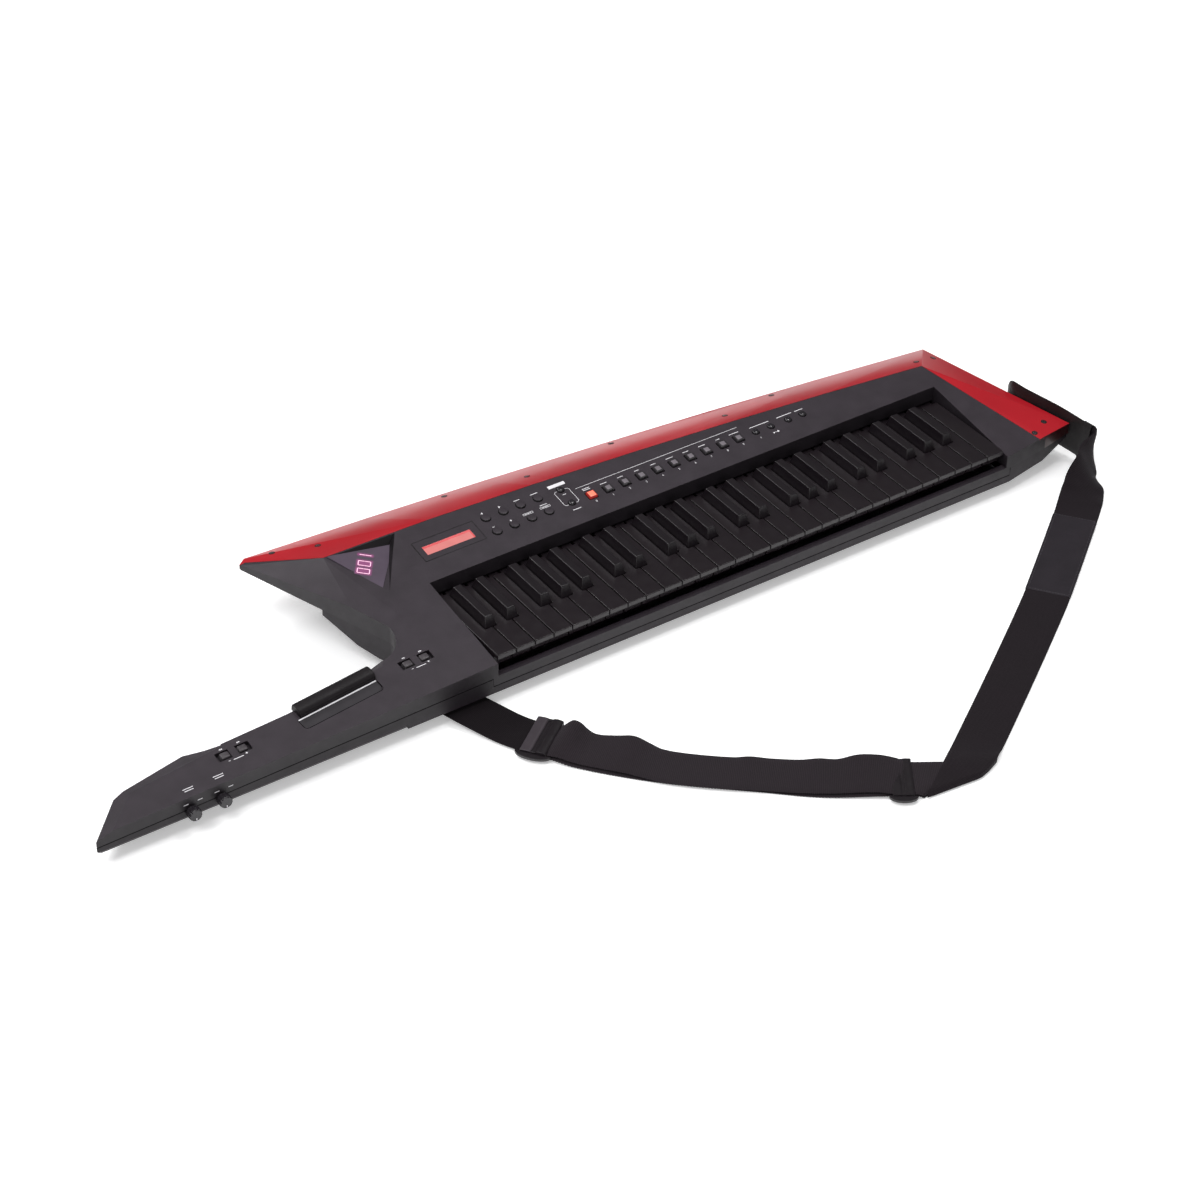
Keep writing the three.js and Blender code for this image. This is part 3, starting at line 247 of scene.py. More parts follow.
def woven(name, base, sheen=0.12):
    """Flat webbing: ribs across the strip and fine yarns along it, from its own U and V."""
    n = Nodes(name)
    weave = n.product(n.wave("X", (170, 40, 1), 0.6, 2.0), n.wave("Y", (60, 260, 1), 0.4, 2.0))
    worn = n.noise(26, 4.0)
    tone = n.math("ADD", n.math("MULTIPLY", weave, 0.6), n.math("MULTIPLY", worn, 0.4))
    n.set(Sheen_Weight=sheen, Sheen_Roughness=0.5, Specular_IOR_Level=0.2,
          Sheen_Tint=(0.7, 0.66, 0.72, 1))
    return n.paint(
        n.tones(tone, base, 0.3, 0.2, 0.75),
        n.spread(worn, 0.8, 0.92),
        n.bump(weave, 0.0003, 0.8),
    )


def leather(name, base):
    n = Nodes(name)
    cells = n.add("ShaderNodeTexVoronoi", feature="DISTANCE_TO_EDGE", Scale=700)
    n.link(n.coords.outputs["Object"], cells.inputs["Vector"])
    creases = n.ramp(cells.outputs["Distance"], (0.0, (0, 0, 0)), (0.25, (1, 1, 1)))
    worn = n.noise(60, 4.0)
    n.set(Specular_IOR_Level=0.4)
    return n.paint(
        n.tones(worn, base, 0.35),
        n.spread(worn, 0.42, 0.56),
        n.bump(creases, 0.00012, 0.7),
    )


def smoked(name, glow=None, strength=0.0):
    """The lens's smoky plastic. With a glow it is lit where the glow attribute is over 0."""
    n = Nodes(name)
    cloud = n.noise(35, 3.0)
    n.set(Specular_IOR_Level=0.5)
    if glow:
        share = n.add("ShaderNodeAttribute", attribute_name="glow").outputs["Fac"]
        n.link(n.ramp(share, (0.0, (0, 0, 0)), (1.0, glow)), n.shader.inputs["Emission Color"])
        n.set(Emission_Strength=strength)
    return n.paint(
        n.ramp(cloud, (0.3, colour(76, 66, 78)), (0.7, colour(84, 74, 87))),
        n.spread(cloud, 0.28, 0.34),
    )


def glowing(name, base, glow, strength):
    n = Nodes(name)
    n.set(Emission_Strength=strength, Roughness=0.35, Base_Color=base)
    n.link(n.tones(n.noise(90, 2.0), glow, 0.07), n.shader.inputs["Emission Color"])
    return n.material


# Where painted shade darkens the casing, in metres of the CAD's own frame
SEAM_HEIGHT, SEAM_RISE, SEAM_REACH = 0.0398, 0.0185, 0.016
NECK_END = -0.3505
POCKET_START, POCKET_END, POCKET_FRONT = -0.42, -0.333, 0.044


def wall_shade(n):
    """Painted shade: darker on steep walls, more in the display's pocket and along the seam of
    the neck's front wall, from the place and the facing."""
    place, facing = n.axes("Object"), n.axes("Normal")
    seam = n.math("ADD", SEAM_HEIGHT, n.math("MULTIPLY", place["X"], SEAM_RISE))
    off = n.math("ABSOLUTE", n.math("SUBTRACT", place["Z"], seam), 0)
    near = n.math("MAXIMUM", n.math("SUBTRACT", 1.0, n.math("DIVIDE", off, SEAM_REACH)), 0.0)
    by_seam = n.product(
        n.math("LESS_THAN", facing["Y"], -0.8), n.math("LESS_THAN", place["X"], NECK_END),
        n.math("POWER", near, 0.7),
    )
    in_pocket = n.product(
        n.math("GREATER_THAN", place["X"], POCKET_START),
        n.math("LESS_THAN", place["X"], POCKET_END),
        n.math("GREATER_THAN", place["Y"], POCKET_FRONT),
        n.math("LESS_THAN", facing["Z"], 0.7),
    )
    steep = n.spread(facing["Z"], 0.5, 1.0, 0.3, 0.93)
    return n.product(n.less(by_seam, 0.35), n.less(in_pocket, 0.7), steep)


# The shells' walls, display pocket and neck seam are darkened as painted shade.
SHELL = plastic("shell", colour(50, 44, 50), 0.46, specular=0.36, shade=wall_shade)
UNDERSHELL = plastic("undershell", colour(48, 41, 48), 0.5, 1500, 0.00005, specular=0.35,
                     shade=wall_shade)
# Flat dark bands laid in gaps and seams: painted shade.
PAINTED_GAP_SHADE = plastic("gap_painted_shade", colour(13, 11, 13), 0.9, specular=0.05)
KEY = plastic("key_black", colour(27, 21, 25), 0.33, 3200, 0.000008, 0.06)
SHARP = plastic("sharp_black", colour(25, 20, 24), 0.33, 3200, 0.000005, 0.06)
CONTROL = plastic("control_black", colour(38, 35, 38), 0.4, 2400, 0.00002)
BAR = plastic("bar_black", colour(24, 20, 23), 0.5, 2400, 0.00002, specular=0.25)
RIBBON = plastic("ribbon_black", colour(48, 45, 49), 0.62, 1800, 0.00004, specular=0.3)
BOARD = plastic("board_green", colour(24, 92, 52), 0.4)
STEEL = brushed("frame_steel", (0.5, 0.5, 0.52), 0.38)
CHROME = brushed("pin_chrome", (0.62, 0.62, 0.64), 0.16)
SCREW = brushed("screw_steel", (0.16, 0.15, 0.16), 0.4)
RED = red_gloss()
# The neck and body runs are darker copies of the one webbing, with less sheen: painted shade.
WEBBING = woven("webbing_black", colour(35, 28, 33))
NECK_WEB_PAINTED_SHADE = woven("neck_webbing_painted_shade", colour(18, 11, 16), 0.03)
BODY_WEB_PAINTED_SHADE = woven("body_webbing_painted_shade", colour(28, 21, 26), 0.06)
LEATHER = leather("tab_leather", colour(22, 18, 20))
PATCH = plastic("patch_black", colour(38, 33, 39), 0.55, 1400, 0.00008, 0.1, 0.3)
THREAD = plastic("thread_black", colour(58, 54, 60), 0.7, 3000, 0.00005)
PRINT = plastic("print_white", colour(226, 224, 228), 0.5, 1800, vary=0.04)
PAINTED_RECESS_SHADE = plastic("recess_painted_shade", colour(18, 16, 18), 0.6)
# Dark sheets and discs laid in gaps, holes and on button sides: painted shade.
LENS = smoked("smoked_lens")
DIGIT_GLOW = smoked("digit_glow", colour(150, 48, 116), 0.75)
DIGIT_LIT = glowing("digit_lit", colour(160, 90, 120), colour(255, 214, 236), 1.0)
LCD_LIT = glowing("lcd_lit", colour(120, 60, 60), colour(226, 138, 134), 0.75)
# The lit window's sloping walls glow a deeper pink: painted inner shade of the bezel.
LCD_WALL_PAINTED_SHADE = glowing("lcd_wall_painted_shade", colour(120, 40, 40), colour(226, 78, 84), 0.75)
LCD_RIM = glowing("lcd_rim", colour(200, 120, 120), colour(250, 176, 172), 0.6)
PAD_LIT = glowing("pad_lit", colour(180, 80, 60), colour(246, 132, 108), 0.95)
PAD_GLOW = glowing("pad_glow", colour(90, 20, 16), colour(176, 40, 34), 0.5)
PAD_WINDOW = plastic("pad_window", colour(112, 106, 112), 0.42, 2400, vary=0.08)
ROCKER_CAP = plastic("rocker_cap", colour(62, 57, 61), 0.42, 2400, 0.00002)
SLIDER = plastic("slider_black", colour(26, 21, 25), 0.34, 2000, 0.00002)
# A paler copy of the slider plastic for the neck slider's flat bar: painted light.
SLIDER_PLATE_PAINTED_LIGHT = plastic("slider_plate_painted_light", colour(58, 52, 57), 0.36, 2000, 0.00002)
GLOSS = plastic("control_gloss", colour(36, 33, 37), 0.22, 3200, 0.00001)


# Meshes

def linked(name, data):
    made = bpy.data.objects.new(name, data)
    bpy.context.scene.collection.objects.link(made)
    return made


def piece(bm, name, *materials, slot, body="root", smooth=35.0):
    """Links a bmesh as a piece on a body, with edges sharper than smooth degrees kept crisp."""
    mesh = bpy.data.meshes.new(name)
    bmesh.ops.recalc_face_normals(bm, faces=bm.faces)
    limit = math.radians(smooth)
    for face in bm.faces:
        face.smooth = True
    for edge in bm.edges:
        edge.smooth = len(edge.link_faces) == 2 and edge.calc_face_angle(0) < limit
    bm.to_mesh(mesh)
    bm.free()
    for material in materials:
        mesh.materials.append(material)
    made = linked(name, mesh)
    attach(made, body)
    return made


def add_loft(bm, matrix, rows, index=0, ends="capped"):
    """Skins rows of points in millimetres of a frame, with as many points each. The end rows
    are capped, open or joined to each other."""
    rings = [[bm.verts.new(matrix @ Vector([v * MM for v in p])) for p in row] for row in rows]
    count = len(rings[0])
    faces = [bm.faces.new(r) for r in (rings[-1], rings[0][::-1])] if ends == "capped" else []
    for a, b in zip(rings, rings[1:] + rings[:1] if ends == "joined" else rings[1:]):
        for i in range(count):
            k = (i + 1) % count
            faces.append(bm.faces.new((a[i], a[k], b[k], b[i])))
    for face in faces:
        face.material_index = index


def raised(outline, z):
    return [(x, y, z) for x, y in outline]


def add_prism(bm, matrix, outline, low, high, index=0):
    add_loft(bm, matrix, [raised(outline, z) for z in (low, high)], index)


def add_ring(bm, matrix, outer, inner, low, high, index=0):
    """A flat ring between two outlines with as many points."""
    rows = [raised(*row) for row in ((outer, low), (outer, high), (inner, high), (inner, low))]
    add_loft(bm, matrix, rows, index, ends="joined")


def add_lathe(bm, matrix, profile, sides=48, flutes=0, depth=0.0, index=0):
    """Turned about the frame's Z from (radius, height) points. Flutes groove its widest rings."""
    widest = max(r for r, _ in profile)
    rows = []
    for r, z in profile:
        row = []
        for i in range(sides):
            angle = 2 * math.pi * i / sides
            fluted = flutes and r > widest * 0.9
            radius = r - (depth * (0.5 + 0.5 * math.cos(flutes * angle)) if fluted else 0)
            row.append((radius * math.cos(angle), radius * math.sin(angle), z))
        rows.append(row)
    add_loft(bm, matrix, rows, index)


def add_band(bm, matrix, points, width, low, high):
    """A flat line of a given width along points of a frame."""
    rows = []
    for i, (x, y) in enumerate(points):
        before, after = points[max(i - 1, 0)], points[min(i + 1, len(points) - 1)]
        dx, dy = after[0] - before[0], after[1] - before[1]
        scale = width / 2 / math.hypot(dx, dy)
        nx, ny = -dy * scale, dx * scale
        rows.append([
            (x - nx, y - ny, low), (x + nx, y + ny, low), (x + nx, y + ny, high),
            (x - nx, y - ny, high),
        ])
    add_loft(bm, matrix, rows)


def rectangle(x0, x1, y0, y1):
    return [(x0, y0), (x1, y0), (x1, y1), (x0, y1)]


def rounded(x0, x1, y0, y1, radius, steps=5):
    """A rectangle with round corners of so many steps."""
    points = []
    for cx, cy, start in ((x1, y0, -90), (x1, y1, 0), (x0, y1, 90), (x0, y0, 180)):
        ox = cx - radius if cx == x1 else cx + radius
        oy = cy - radius if cy == y1 else cy + radius
        for i in range(steps + 1):
            angle = math.radians(start + 90 * i / steps)
            points.append((ox + radius * math.cos(angle), oy + radius * math.sin(angle)))
    return points


def square(half, radius, steps=4):
    return rounded(-half, half, -half, half, radius, steps)


def circle(radius, sides=32):
    turns = [2 * math.pi * i / sides for i in range(sides)]
    return [(radius * math.cos(turn), radius * math.sin(turn)) for turn in turns]


# The CAD pieces that show

def modified(thing, name, kind, **values):
    made = thing.modifiers.new(name, kind)
    for key, value in values.items():
        setattr(made, key, value)
    return made


def bevelled(thing, width, segments=2, limit_method="ANGLE", **values):
    modified(thing, "edge", "BEVEL", width=width * MM, segments=segments,
             limit_method=limit_method, **values)


def geometry_group(name):
    """A new node group, its ways to add and link nodes, and its two ends."""
    group = bpy.data.node_groups.new(name, "GeometryNodeTree")
    for way in ("INPUT", "OUTPUT"):
        group.interface.new_socket("Geometry", in_out=way, socket_type="NodeSocketGeometry")
    add = group.nodes.new
    return group, add, group.links.new, add("NodeGroupInput"), add("NodeGroupOutput")


@cache
def shading(angle):
    """A node group that shades smooth, with edges sharper than angle kept crisp."""
    group, add, link, source, target = geometry_group(f"smooth_{angle}")
    turn = add("GeometryNodeInputMeshEdgeAngle")
    crisp = add("FunctionNodeCompare")
    crisp.data_type, crisp.operation = "FLOAT", "LESS_THAN"
    crisp.inputs["B"].default_value = math.radians(angle)
    faces, edges = add("GeometryNodeSetShadeSmooth"), add("GeometryNodeSetShadeSmooth")
    faces.domain, edges.domain = "FACE", "EDGE"
    link(source.outputs["Geometry"], faces.inputs["Geometry"])
    link(faces.outputs["Geometry"], edges.inputs["Geometry"])
    link(turn.outputs["Unsigned Angle"], crisp.inputs["A"])
    link(crisp.outputs["Result"], edges.inputs["Shade Smooth"])
    link(edges.outputs["Geometry"], target.inputs["Geometry"])
    return group


def long_edges(angle, length):
    """A node group that marks for rounding the convex edges over an angle and a length."""
    group, add, link, source, target = geometry_group(f"edges_{angle}_{length}")
    turn, ends = add("GeometryNodeInputMeshEdgeAngle"), add("GeometryNodeInputMeshEdgeVertices")
    span = add("ShaderNodeVectorMath")
    span.operation = "DISTANCE"
    both = add("ShaderNodeMath")
    both.operation = "MULTIPLY"
    tests = (
        (turn.outputs["Signed Angle"], math.radians(angle)), (span.outputs["Value"], length * MM),
    )
    for i, (value, limit) in enumerate(tests):
        link(ends.outputs[f"Position {i + 1}"], span.inputs[i])
        over = add("ShaderNodeMath")
        over.operation = "GREATER_THAN"
        over.inputs[1].default_value = limit
        link(value, over.inputs[0])
        link(over.outputs["Value"], both.inputs[i])
    store = add("GeometryNodeStoreNamedAttribute")
    store.data_type, store.domain = "FLOAT", "EDGE"
    store.inputs["Name"].default_value = "bevel_weight_edge"
    link(source.outputs["Geometry"], store.inputs["Geometry"])
    link(both.outputs["Value"], store.inputs["Value"])
    link(store.outputs["Geometry"], target.inputs["Geometry"])
    return group


def soften(name, material, width, angle=28, segments=2, smooth=32, longest_only=0.0, flush=True):
    """A CAD node's own mesh with its edges rounded by modifiers: those sharper than angle, or
    of them only the convex ones longer than longest_only millimetres."""
    node = frame["nodes"][name]
    node.data.materials.clear()
    node.data.materials.append(material)
    modified(node, "weld", "WELD", merge_threshold=0.000004)
    modified(node, "flat", "DECIMATE", decimate_type="DISSOLVE", angle_limit=math.radians(0.5))
    if longest_only:
        modified(node, "choose", "NODES", node_group=long_edges(angle, longest_only))
    if width:
        bevelled(node, width, segments, "WEIGHT" if longest_only else "ANGLE",
                 angle_limit=math.radians(angle), use_clamp_overlap=True, miter_outer="MITER_ARC")
    modified(node, "shade", "NODES", node_group=shading(smooth))
    if width and flush:
        modified(node, "flush", "WEIGHTED_NORMAL", mode="FACE_AREA", weight=100, keep_sharp=True)


soften("upper_casing", SHELL, 1.8, angle=16, segments=4, smooth=26, longest_only=14)
soften("lower_casing", UNDERSHELL, 1.4, angle=16, segments=3, smooth=26, longest_only=14)
soften("edge_blade", RED, 0.6, angle=45, segments=3, smooth=21, longest_only=20, flush=False)
soften("key_frame", STEEL, 0.4)
soften("main_board", BOARD, 0)
soften("digit_display_lens", LENS, 0)
soften("touch_ribbon", RIBBON, 0.3)
soften("modulation_bar", BAR, 1.2, segments=3)
soften("battery_cover", UNDERSHELL, 0.5)
soften("socket_panel", CONTROL, 0.4)
for name in ("octave_rocker", "program_rocker"):
    soften(name, CONTROL, 0.6, segments=3)
for name in ("body_strap_pin", "neck_strap_pin"):
    soften(name, CHROME, 0.4)
for i in range(KEY_COUNT):
    soften(f"natural_key_{i + 1:02d}", KEY, 0.9, segments=3)
for i in range(SHARP_COMBS):
    soften(f"sharp_keys_{i + 1}", SHARP, 1.3, segments=3)


# Controls on the panel: their places are the drawing's

FRONT_ROW, BACK_ROW = 162.5, 185.5
ROWS = (FRONT_ROW, BACK_ROW)
ROUND_X = [104 + 22.4 * i for i in range(4)]
SELECT_X = 201.0
PAD_X = [227 + 22.2 * i for i in range(10)]
DOME_X = [451 + 66 * share for share in (0, 0.32, 0.69, 1)]
ROUND_SPOTS = [(x, y) for x in ROUND_X for y in ROWS]
SELECT_SPOTS = [(SELECT_X, y) for y in ROWS]
DOME_SPOTS = [(x, FRONT_ROW) for x in DOME_X]
ROUND_RADIUS, DOME_RADIUS = 5.2, 4.2
STEM_LOW = -4


def round_caps():
    """Round buttons with a flat top like the panel and a side in dark painted shade."""
    bm = bmesh.new()
    for x, y in ROUND_SPOTS:
        matrix = panel_frame(x, y)
        side = [(ROUND_RADIUS, STEM_LOW), (ROUND_RADIUS, 1.3), (5.1, 1.55), (4.9, 1.65)]
        add_lathe(bm, matrix, side, 40)
        add_lathe(bm, matrix, [(5.0, 1.5), (4.95, 1.68), (4.7, 1.76), (0.4, 1.8)], 40, index=1)
    made = piece(bm, "round_button_caps", PAINTED_RECESS_SHADE, SHELL, body="round_buttons", slot="controls",
                 smooth=50)
    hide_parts("round_buttons")


def dome_caps(name, node, spots):
    """Glossy domed buttons."""
    bm = bmesh.new()
    turns = [math.radians(v) for v in (12, 24, 36, 48, 60, 72, 82)]
    profile = [(DOME_RADIUS, STEM_LOW), (DOME_RADIUS, 0.9)]
    profile += [(DOME_RADIUS * math.cos(a), 0.9 + 1.7 * math.sin(a)) for a in turns]
    for x, y in spots:
        add_lathe(bm, panel_frame(x, y), profile, 40)
    made = piece(bm, name, GLOSS, body=node, slot="controls", smooth=50)
    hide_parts(node)


def pad_caps():
    """Square pads: a moulded skirt and a paler window; the first one is lit."""
    bm = bmesh.new()
    skirt = ((5, 0.9, STEM_LOW), (5, 0.9, 1.9), (4.75, 0.9, 2.45), (4.1, 0.8, 2.6))
    for i, x in enumerate(PAD_X):
        matrix = panel_frame(x, FRONT_ROW)
        side, window, reach = (0, 1, 3.1) if i else (2, 3, 3.9)
        add_loft(bm, matrix, [raised(square(half, r), z) for half, r, z in skirt], side)
        tile = ((reach, 2.3), (reach, 2.62), (reach - 0.25, 2.72))
        add_loft(bm, matrix, [raised(square(half, 0.6), z) for half, z in tile], window)
    made = piece(bm, "tone_pad_caps", CONTROL, PAD_WINDOW, PAD_GLOW, PAD_LIT, body="tone_pads",
                 slot="controls", smooth=50)
    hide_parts("tone_pads")


def button_wells():
    """Flat dark rings round the buttons: painted shade of the gaps they stand in."""
    bm = bmesh.new()
    rings = [(ROUND_SPOTS, circle(ROUND_RADIUS + 0.6, 40), circle(ROUND_RADIUS + 0.15, 40))]
    rings += [(SELECT_SPOTS + DOME_SPOTS, circle(DOME_RADIUS + 0.6, 40),
               circle(DOME_RADIUS + 0.15, 40))]
    rings += [([(x, FRONT_ROW) for x in PAD_X], square(6.1, 1.4), square(5.15, 0.9))]
    for spots, outer, inner in rings:
        for x, y in spots:
            add_ring(bm, panel_frame(x, y), outer, inner, -0.6, 0.03)
    piece(bm, "button_gaps", PAINTED_GAP_SHADE, slot="casing", smooth=30)


round_caps()
dome_caps("select_button_caps", "select_buttons", SELECT_SPOTS)
dome_caps("function_button_caps", "function_buttons", DOME_SPOTS)
pad_caps()
button_wells()


# Marks: digits, arrows, signs and plain lines printed on the casing

INK = (-0.04, 0.06)
STROKE = 0.7
ROCKERS = {"octave_rocker": (-73.2, 42.0), "program_rocker": (-296.4, 26.0)}
DIGIT_Y, DOME_MARK_Y = 152.3, 152.0

# The plain lines: each one's middle, length and, where it isn't 0.8, height
LINES = [
    (ROUND_X[2], 193.8, 7.5), (ROUND_X[3], 193.8, 9.5), (ROUND_X[0], 170.0, 2.4, STROKE),
    (ROUND_X[2], 170.5, 8.6, STROKE), (ROUND_X[3], 170.6, 8.6, STROKE), (ROUND_X[3], 174.4, 9.0),
    (SELECT_X, 194.0, 21.6, 4.6), (SELECT_X, 177.6, 4.6), (SELECT_X, 151.8, 10.5),
    (326.2, 179.2, 219.5, 0.5), (PAD_X[0], 172.6, 9.5), (PAD_X[0], 174.8, 9.5),
    ((DOME_X[0] + DOME_X[1]) / 2, 171.0, 27.0, 0.9), (DOME_X[2], 170.8, 21.0, 0.9),
    (DOME_X[3], 170.4, 11.0, 0.9), (DOME_X[1], DOME_MARK_Y, 2.2, 0.5),
]
PAD_LINES = (8.4, 7.4, 6.0, 7.0, 9.4, 7.6, 9.0, 5.2, 13.0)
LINES += [(x, 172.4, length) for x, length in zip(PAD_X[1:], PAD_LINES)]
for x in (-358.8, -324.9):
    LINES += [(x, 6.4, 11.5), (x, 3.6, 10.0)]
for x, y in ROCKERS.values():
    LINES += [(x - 9.2, y - 8.8, 1.9, 0.6), (x + 1.0, y - 9.4, 11.5)]


def add_text(bm, text, matrix, size):
    curve = bpy.data.curves.new("mark", "FONT")
    curve.body = text
    curve.size = size * MM
    curve.align_x, curve.align_y = "CENTER", "CENTER"
    curve.extrude = 0.03 * MM
    curve.resolution_u = 3
    holder = bpy.data.objects.new("mark", curve)
    mesh = bpy.data.meshes.new_from_object(holder)
    mesh.transform(matrix @ Matrix.Translation((0, 0, 0.035 * MM)))
    bm.from_mesh(mesh)
    bpy.data.objects.remove(holder)
    bpy.data.meshes.remove(mesh)
    bpy.data.curves.remove(curve)


def arrow(bm, matrix, way, size=1.5, across=0.0):
    base = across + way * size * 0.6
    add_prism(bm, matrix, [(across - way * size, 0.0), (base, size), (base, -size)], *INK)


def bar(bm, matrix, length, height=0.8, y=0.0):
    add_prism(bm, matrix, rectangle(-length / 2, length / 2, y - height / 2, y + height / 2), *INK)


def plus(bm, matrix, size):
    bar(bm, matrix, 2 * size, STROKE)
    for way in (1, -1):
        bar(bm, matrix, STROKE, size - STROKE / 2, y=way * (size + STROKE / 2) / 2)


def marks():
    bm = bmesh.new()
    for x, y, *size in LINES:
        bar(bm, panel_frame(x, y), *size)
    arrow(bm, panel_frame(ROUND_X[0], 193.8), 1)
    arrow(bm, panel_frame(ROUND_X[1], 193.8), -1)
    plus(bm, panel_frame(ROUND_X[1], 170.0), 1.3)
    outer, inner = rounded(-6.5, 6.5, -1.5, 1.5, 0.5, 2), rounded(-6.1, 6.1, -1.1, 1.1, 0.3, 2)
    for x, y in ((ROUND_X[2], 170.5), (ROUND_X[3], 170.6)):
        add_ring(bm, panel_frame(x, y), outer, inner, *INK)

    middle, slope = 173, math.hypot(1, PANEL_SLOPE)
    bracket = [(-5.2, 184.8), (-7.4, 184.8), (-9.4, 182.8), (-9.4, 163.0), (-7.4, 161.0),
               (-5.2, 161.0)]
    for way in (1, -1):
        points = [(way * x, (y - middle) * slope) for x, y in bracket]
        add_band(bm, panel_frame(SELECT_X, middle), points, 0.5, *INK)

    for i, x in enumerate(PAD_X):
        add_text(bm, str(i), panel_frame(x, DIGIT_Y), 4.0)
    add_text(bm, "1", panel_frame(DOME_X[0], DOME_MARK_Y), 3.6)
    arrow(bm, panel_frame(DOME_X[1] - 2.8, DOME_MARK_Y), -1, 1.3)
    add_prism(bm, panel_frame(DOME_X[1] + 2.9, DOME_MARK_Y), circle(1.3, 16), *INK)

    for cx, cy in ROCKERS.values():
        for way in (1, -1):
            for shift in (-0.9, 0.9):
                arrow(bm, panel_frame(cx - 10.0 * way, cy + 8.7), way, 1.1, shift)
        plus(bm, panel_frame(cx + 10.6, cy - 7.9), 1.2)
    for x, z in ((-367.3, -23.7), (-351.7, -23.3), (-332.8, -22.9), (-317.2, -22.4)):
        wall = frame_of(at(x, NECK_WALL_Y, z), (1, 0, NECK_SLOPE), (0, -1, 0))
        bar(bm, wall, 5.4)
    piece(bm, "printed_marks", PRINT, slot="casing", smooth=10)


marks()


# Displays

def character_window():
    """The panel-coloured bezel with its sunk, lit window."""
    matrix = panel_frame(50, 174)
    bezel = bmesh.new()
    outer = rounded(-38, 38, -15, 15, 0.8, 3)
    window = rounded(-31.2, 29.2, -7.6, 5.6, 0.5, 3)
    add_ring(bezel, matrix, outer, window, -1.5, -0.12)
    bevelled(piece(bezel, "display_bezel", SHELL, slot="casing", smooth=30), 0.3)

    lit = bmesh.new()
    top = rounded(-31.1, 29.1, -7.5, 5.5, 0.4, 3)
    low = rounded(-30.4, 27.9, -7.2, 3.3, 0.3, 3)
    # Its sloping walls glow in the deeper pink of painted shade.
    add_loft(lit, matrix, [raised(top, -0.3), raised(low, -1.3)], 1, ends="open")
    add_prism(lit, matrix, low, -1.5, -1.3)
    add_ring(lit, matrix, rounded(-31.15, 29.15, -7.55, 5.55, 0.4, 3), top, -0.4, -0.28, 2)
    made = piece(lit, "display_window", LCD_LIT, LCD_WALL_PAINTED_SHADE, LCD_RIM, slot="display", smooth=20)
    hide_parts("character_display")

    # A dark ring round the bezel: painted shade of its gap.
    groove = bmesh.new()
    outer = rounded(-38.7, 38.7, -15.7, 15.7, 1.1, 3)
    inner = rounded(-38.05, 38.05, -15.05, 15.05, 0.8, 3)
    add_ring(groove, matrix, outer, inner, -0.8, 0.02)
    piece(groove, "display_gap", PAINTED_RECESS_SHADE, slot="casing", smooth=30)


def lens_frame():
    """The frame of the sloping lens in its pocket: X up the digits' way, Z off the lens."""
    node = frame["nodes"]["digit_display_lens"]
    best = max(node.data.polygons, key=lambda p: p.area * max(0.0, p.normal.z))
    normal = best.normal.copy()
    spot = node.data.vertices[best.vertices[0]].co.copy()
    origin = at(-47.0, 189.0, 0)
    drop = normal.x * (origin.x - spot.x) + normal.y * (origin.y - spot.y)
    origin.z = spot.z - drop / normal.z
    return frame_of(origin, (0.575, 0.818, 0), normal)


# The seven bars of a digit: whether each runs across, and its middle in half widths and heights
BARS = {
    "a": (True, 0, 1), "b": (False, 1, 0.5), "c": (False, 1, -0.5), "d": (True, 0, -1),
    "e": (False, -1, -0.5), "f": (False, -1, 0.5), "g": (True, 0, 0),
}
DIGITS = {"0": "abcdef", "1": "bc"}
DIGIT_PLACES = (("0", -11.0), ("0", 1.6), ("1", 12.0))
DIGIT_HALF_WIDTH, DIGIT_HALF_HEIGHT, DIGIT_STROKE = 3.6, 6.6, 1.0
# The rings of the glow: how far each reaches past the digit, its height and its light
GLOW_RINGS = ((2.8, -0.2, 0.0), (2.8, 0.03, 0.0), (1.4, 0.04, 0.45), (0.0, 0.05, 1.0))


def digit_window():
    """Three lit digits, read up the slope of the lens, and the glow round them."""
    matrix = lens_frame()
    bm = bmesh.new()
    tip = DIGIT_STROKE / 2
    for text, middle in DIGIT_PLACES:
        for name in DIGITS[text]:
            level, u, v = BARS[name]
            cx, cy = middle + u * DIGIT_HALF_WIDTH, v * DIGIT_HALF_HEIGHT
            long = (DIGIT_HALF_WIDTH if level else DIGIT_HALF_HEIGHT / 2) - 0.45
            outline = [(-long, -tip), (long, -tip), (long + tip, 0), (long, tip), (-long, tip),
                       (-long - tip, 0)]
            points = [(cx + p, cy + q) if level else (cx - q, cy + p) for p, q in outline]
            add_prism(bm, matrix, points, -0.1, 0.14)
    piece(bm, "digits_lit", DIGIT_LIT, slot="display", smooth=20)

    glow = bmesh.new()
    light = glow.verts.layers.float.new("glow")
    for text, middle in DIGIT_PLACES:
        wide = DIGIT_HALF_WIDTH + 0.8 if text == "0" else 0.9
        cx = middle if text == "0" else middle + DIGIT_HALF_WIDTH
        rows = []
        for out, z, _ in GLOW_RINGS:
            tall = 7.6 + out * 0.8
            outline = rounded(cx - wide - out, cx + wide + out, -tall, tall, 0.6 + out * 0.8)
            rows.append(raised(outline, z))
        start = len(glow.verts)
        add_loft(glow, matrix, rows)
        glow.verts.ensure_lookup_table()
        for i in range(start, len(glow.verts)):
            glow.verts[i][light] = GLOW_RINGS[(i - start) // len(rows[0])][2]
    piece(glow, "digit_glow", DIGIT_GLOW, slot="display", smooth=60)


character_window()
digit_window()


# Knobs on the neck's front wall

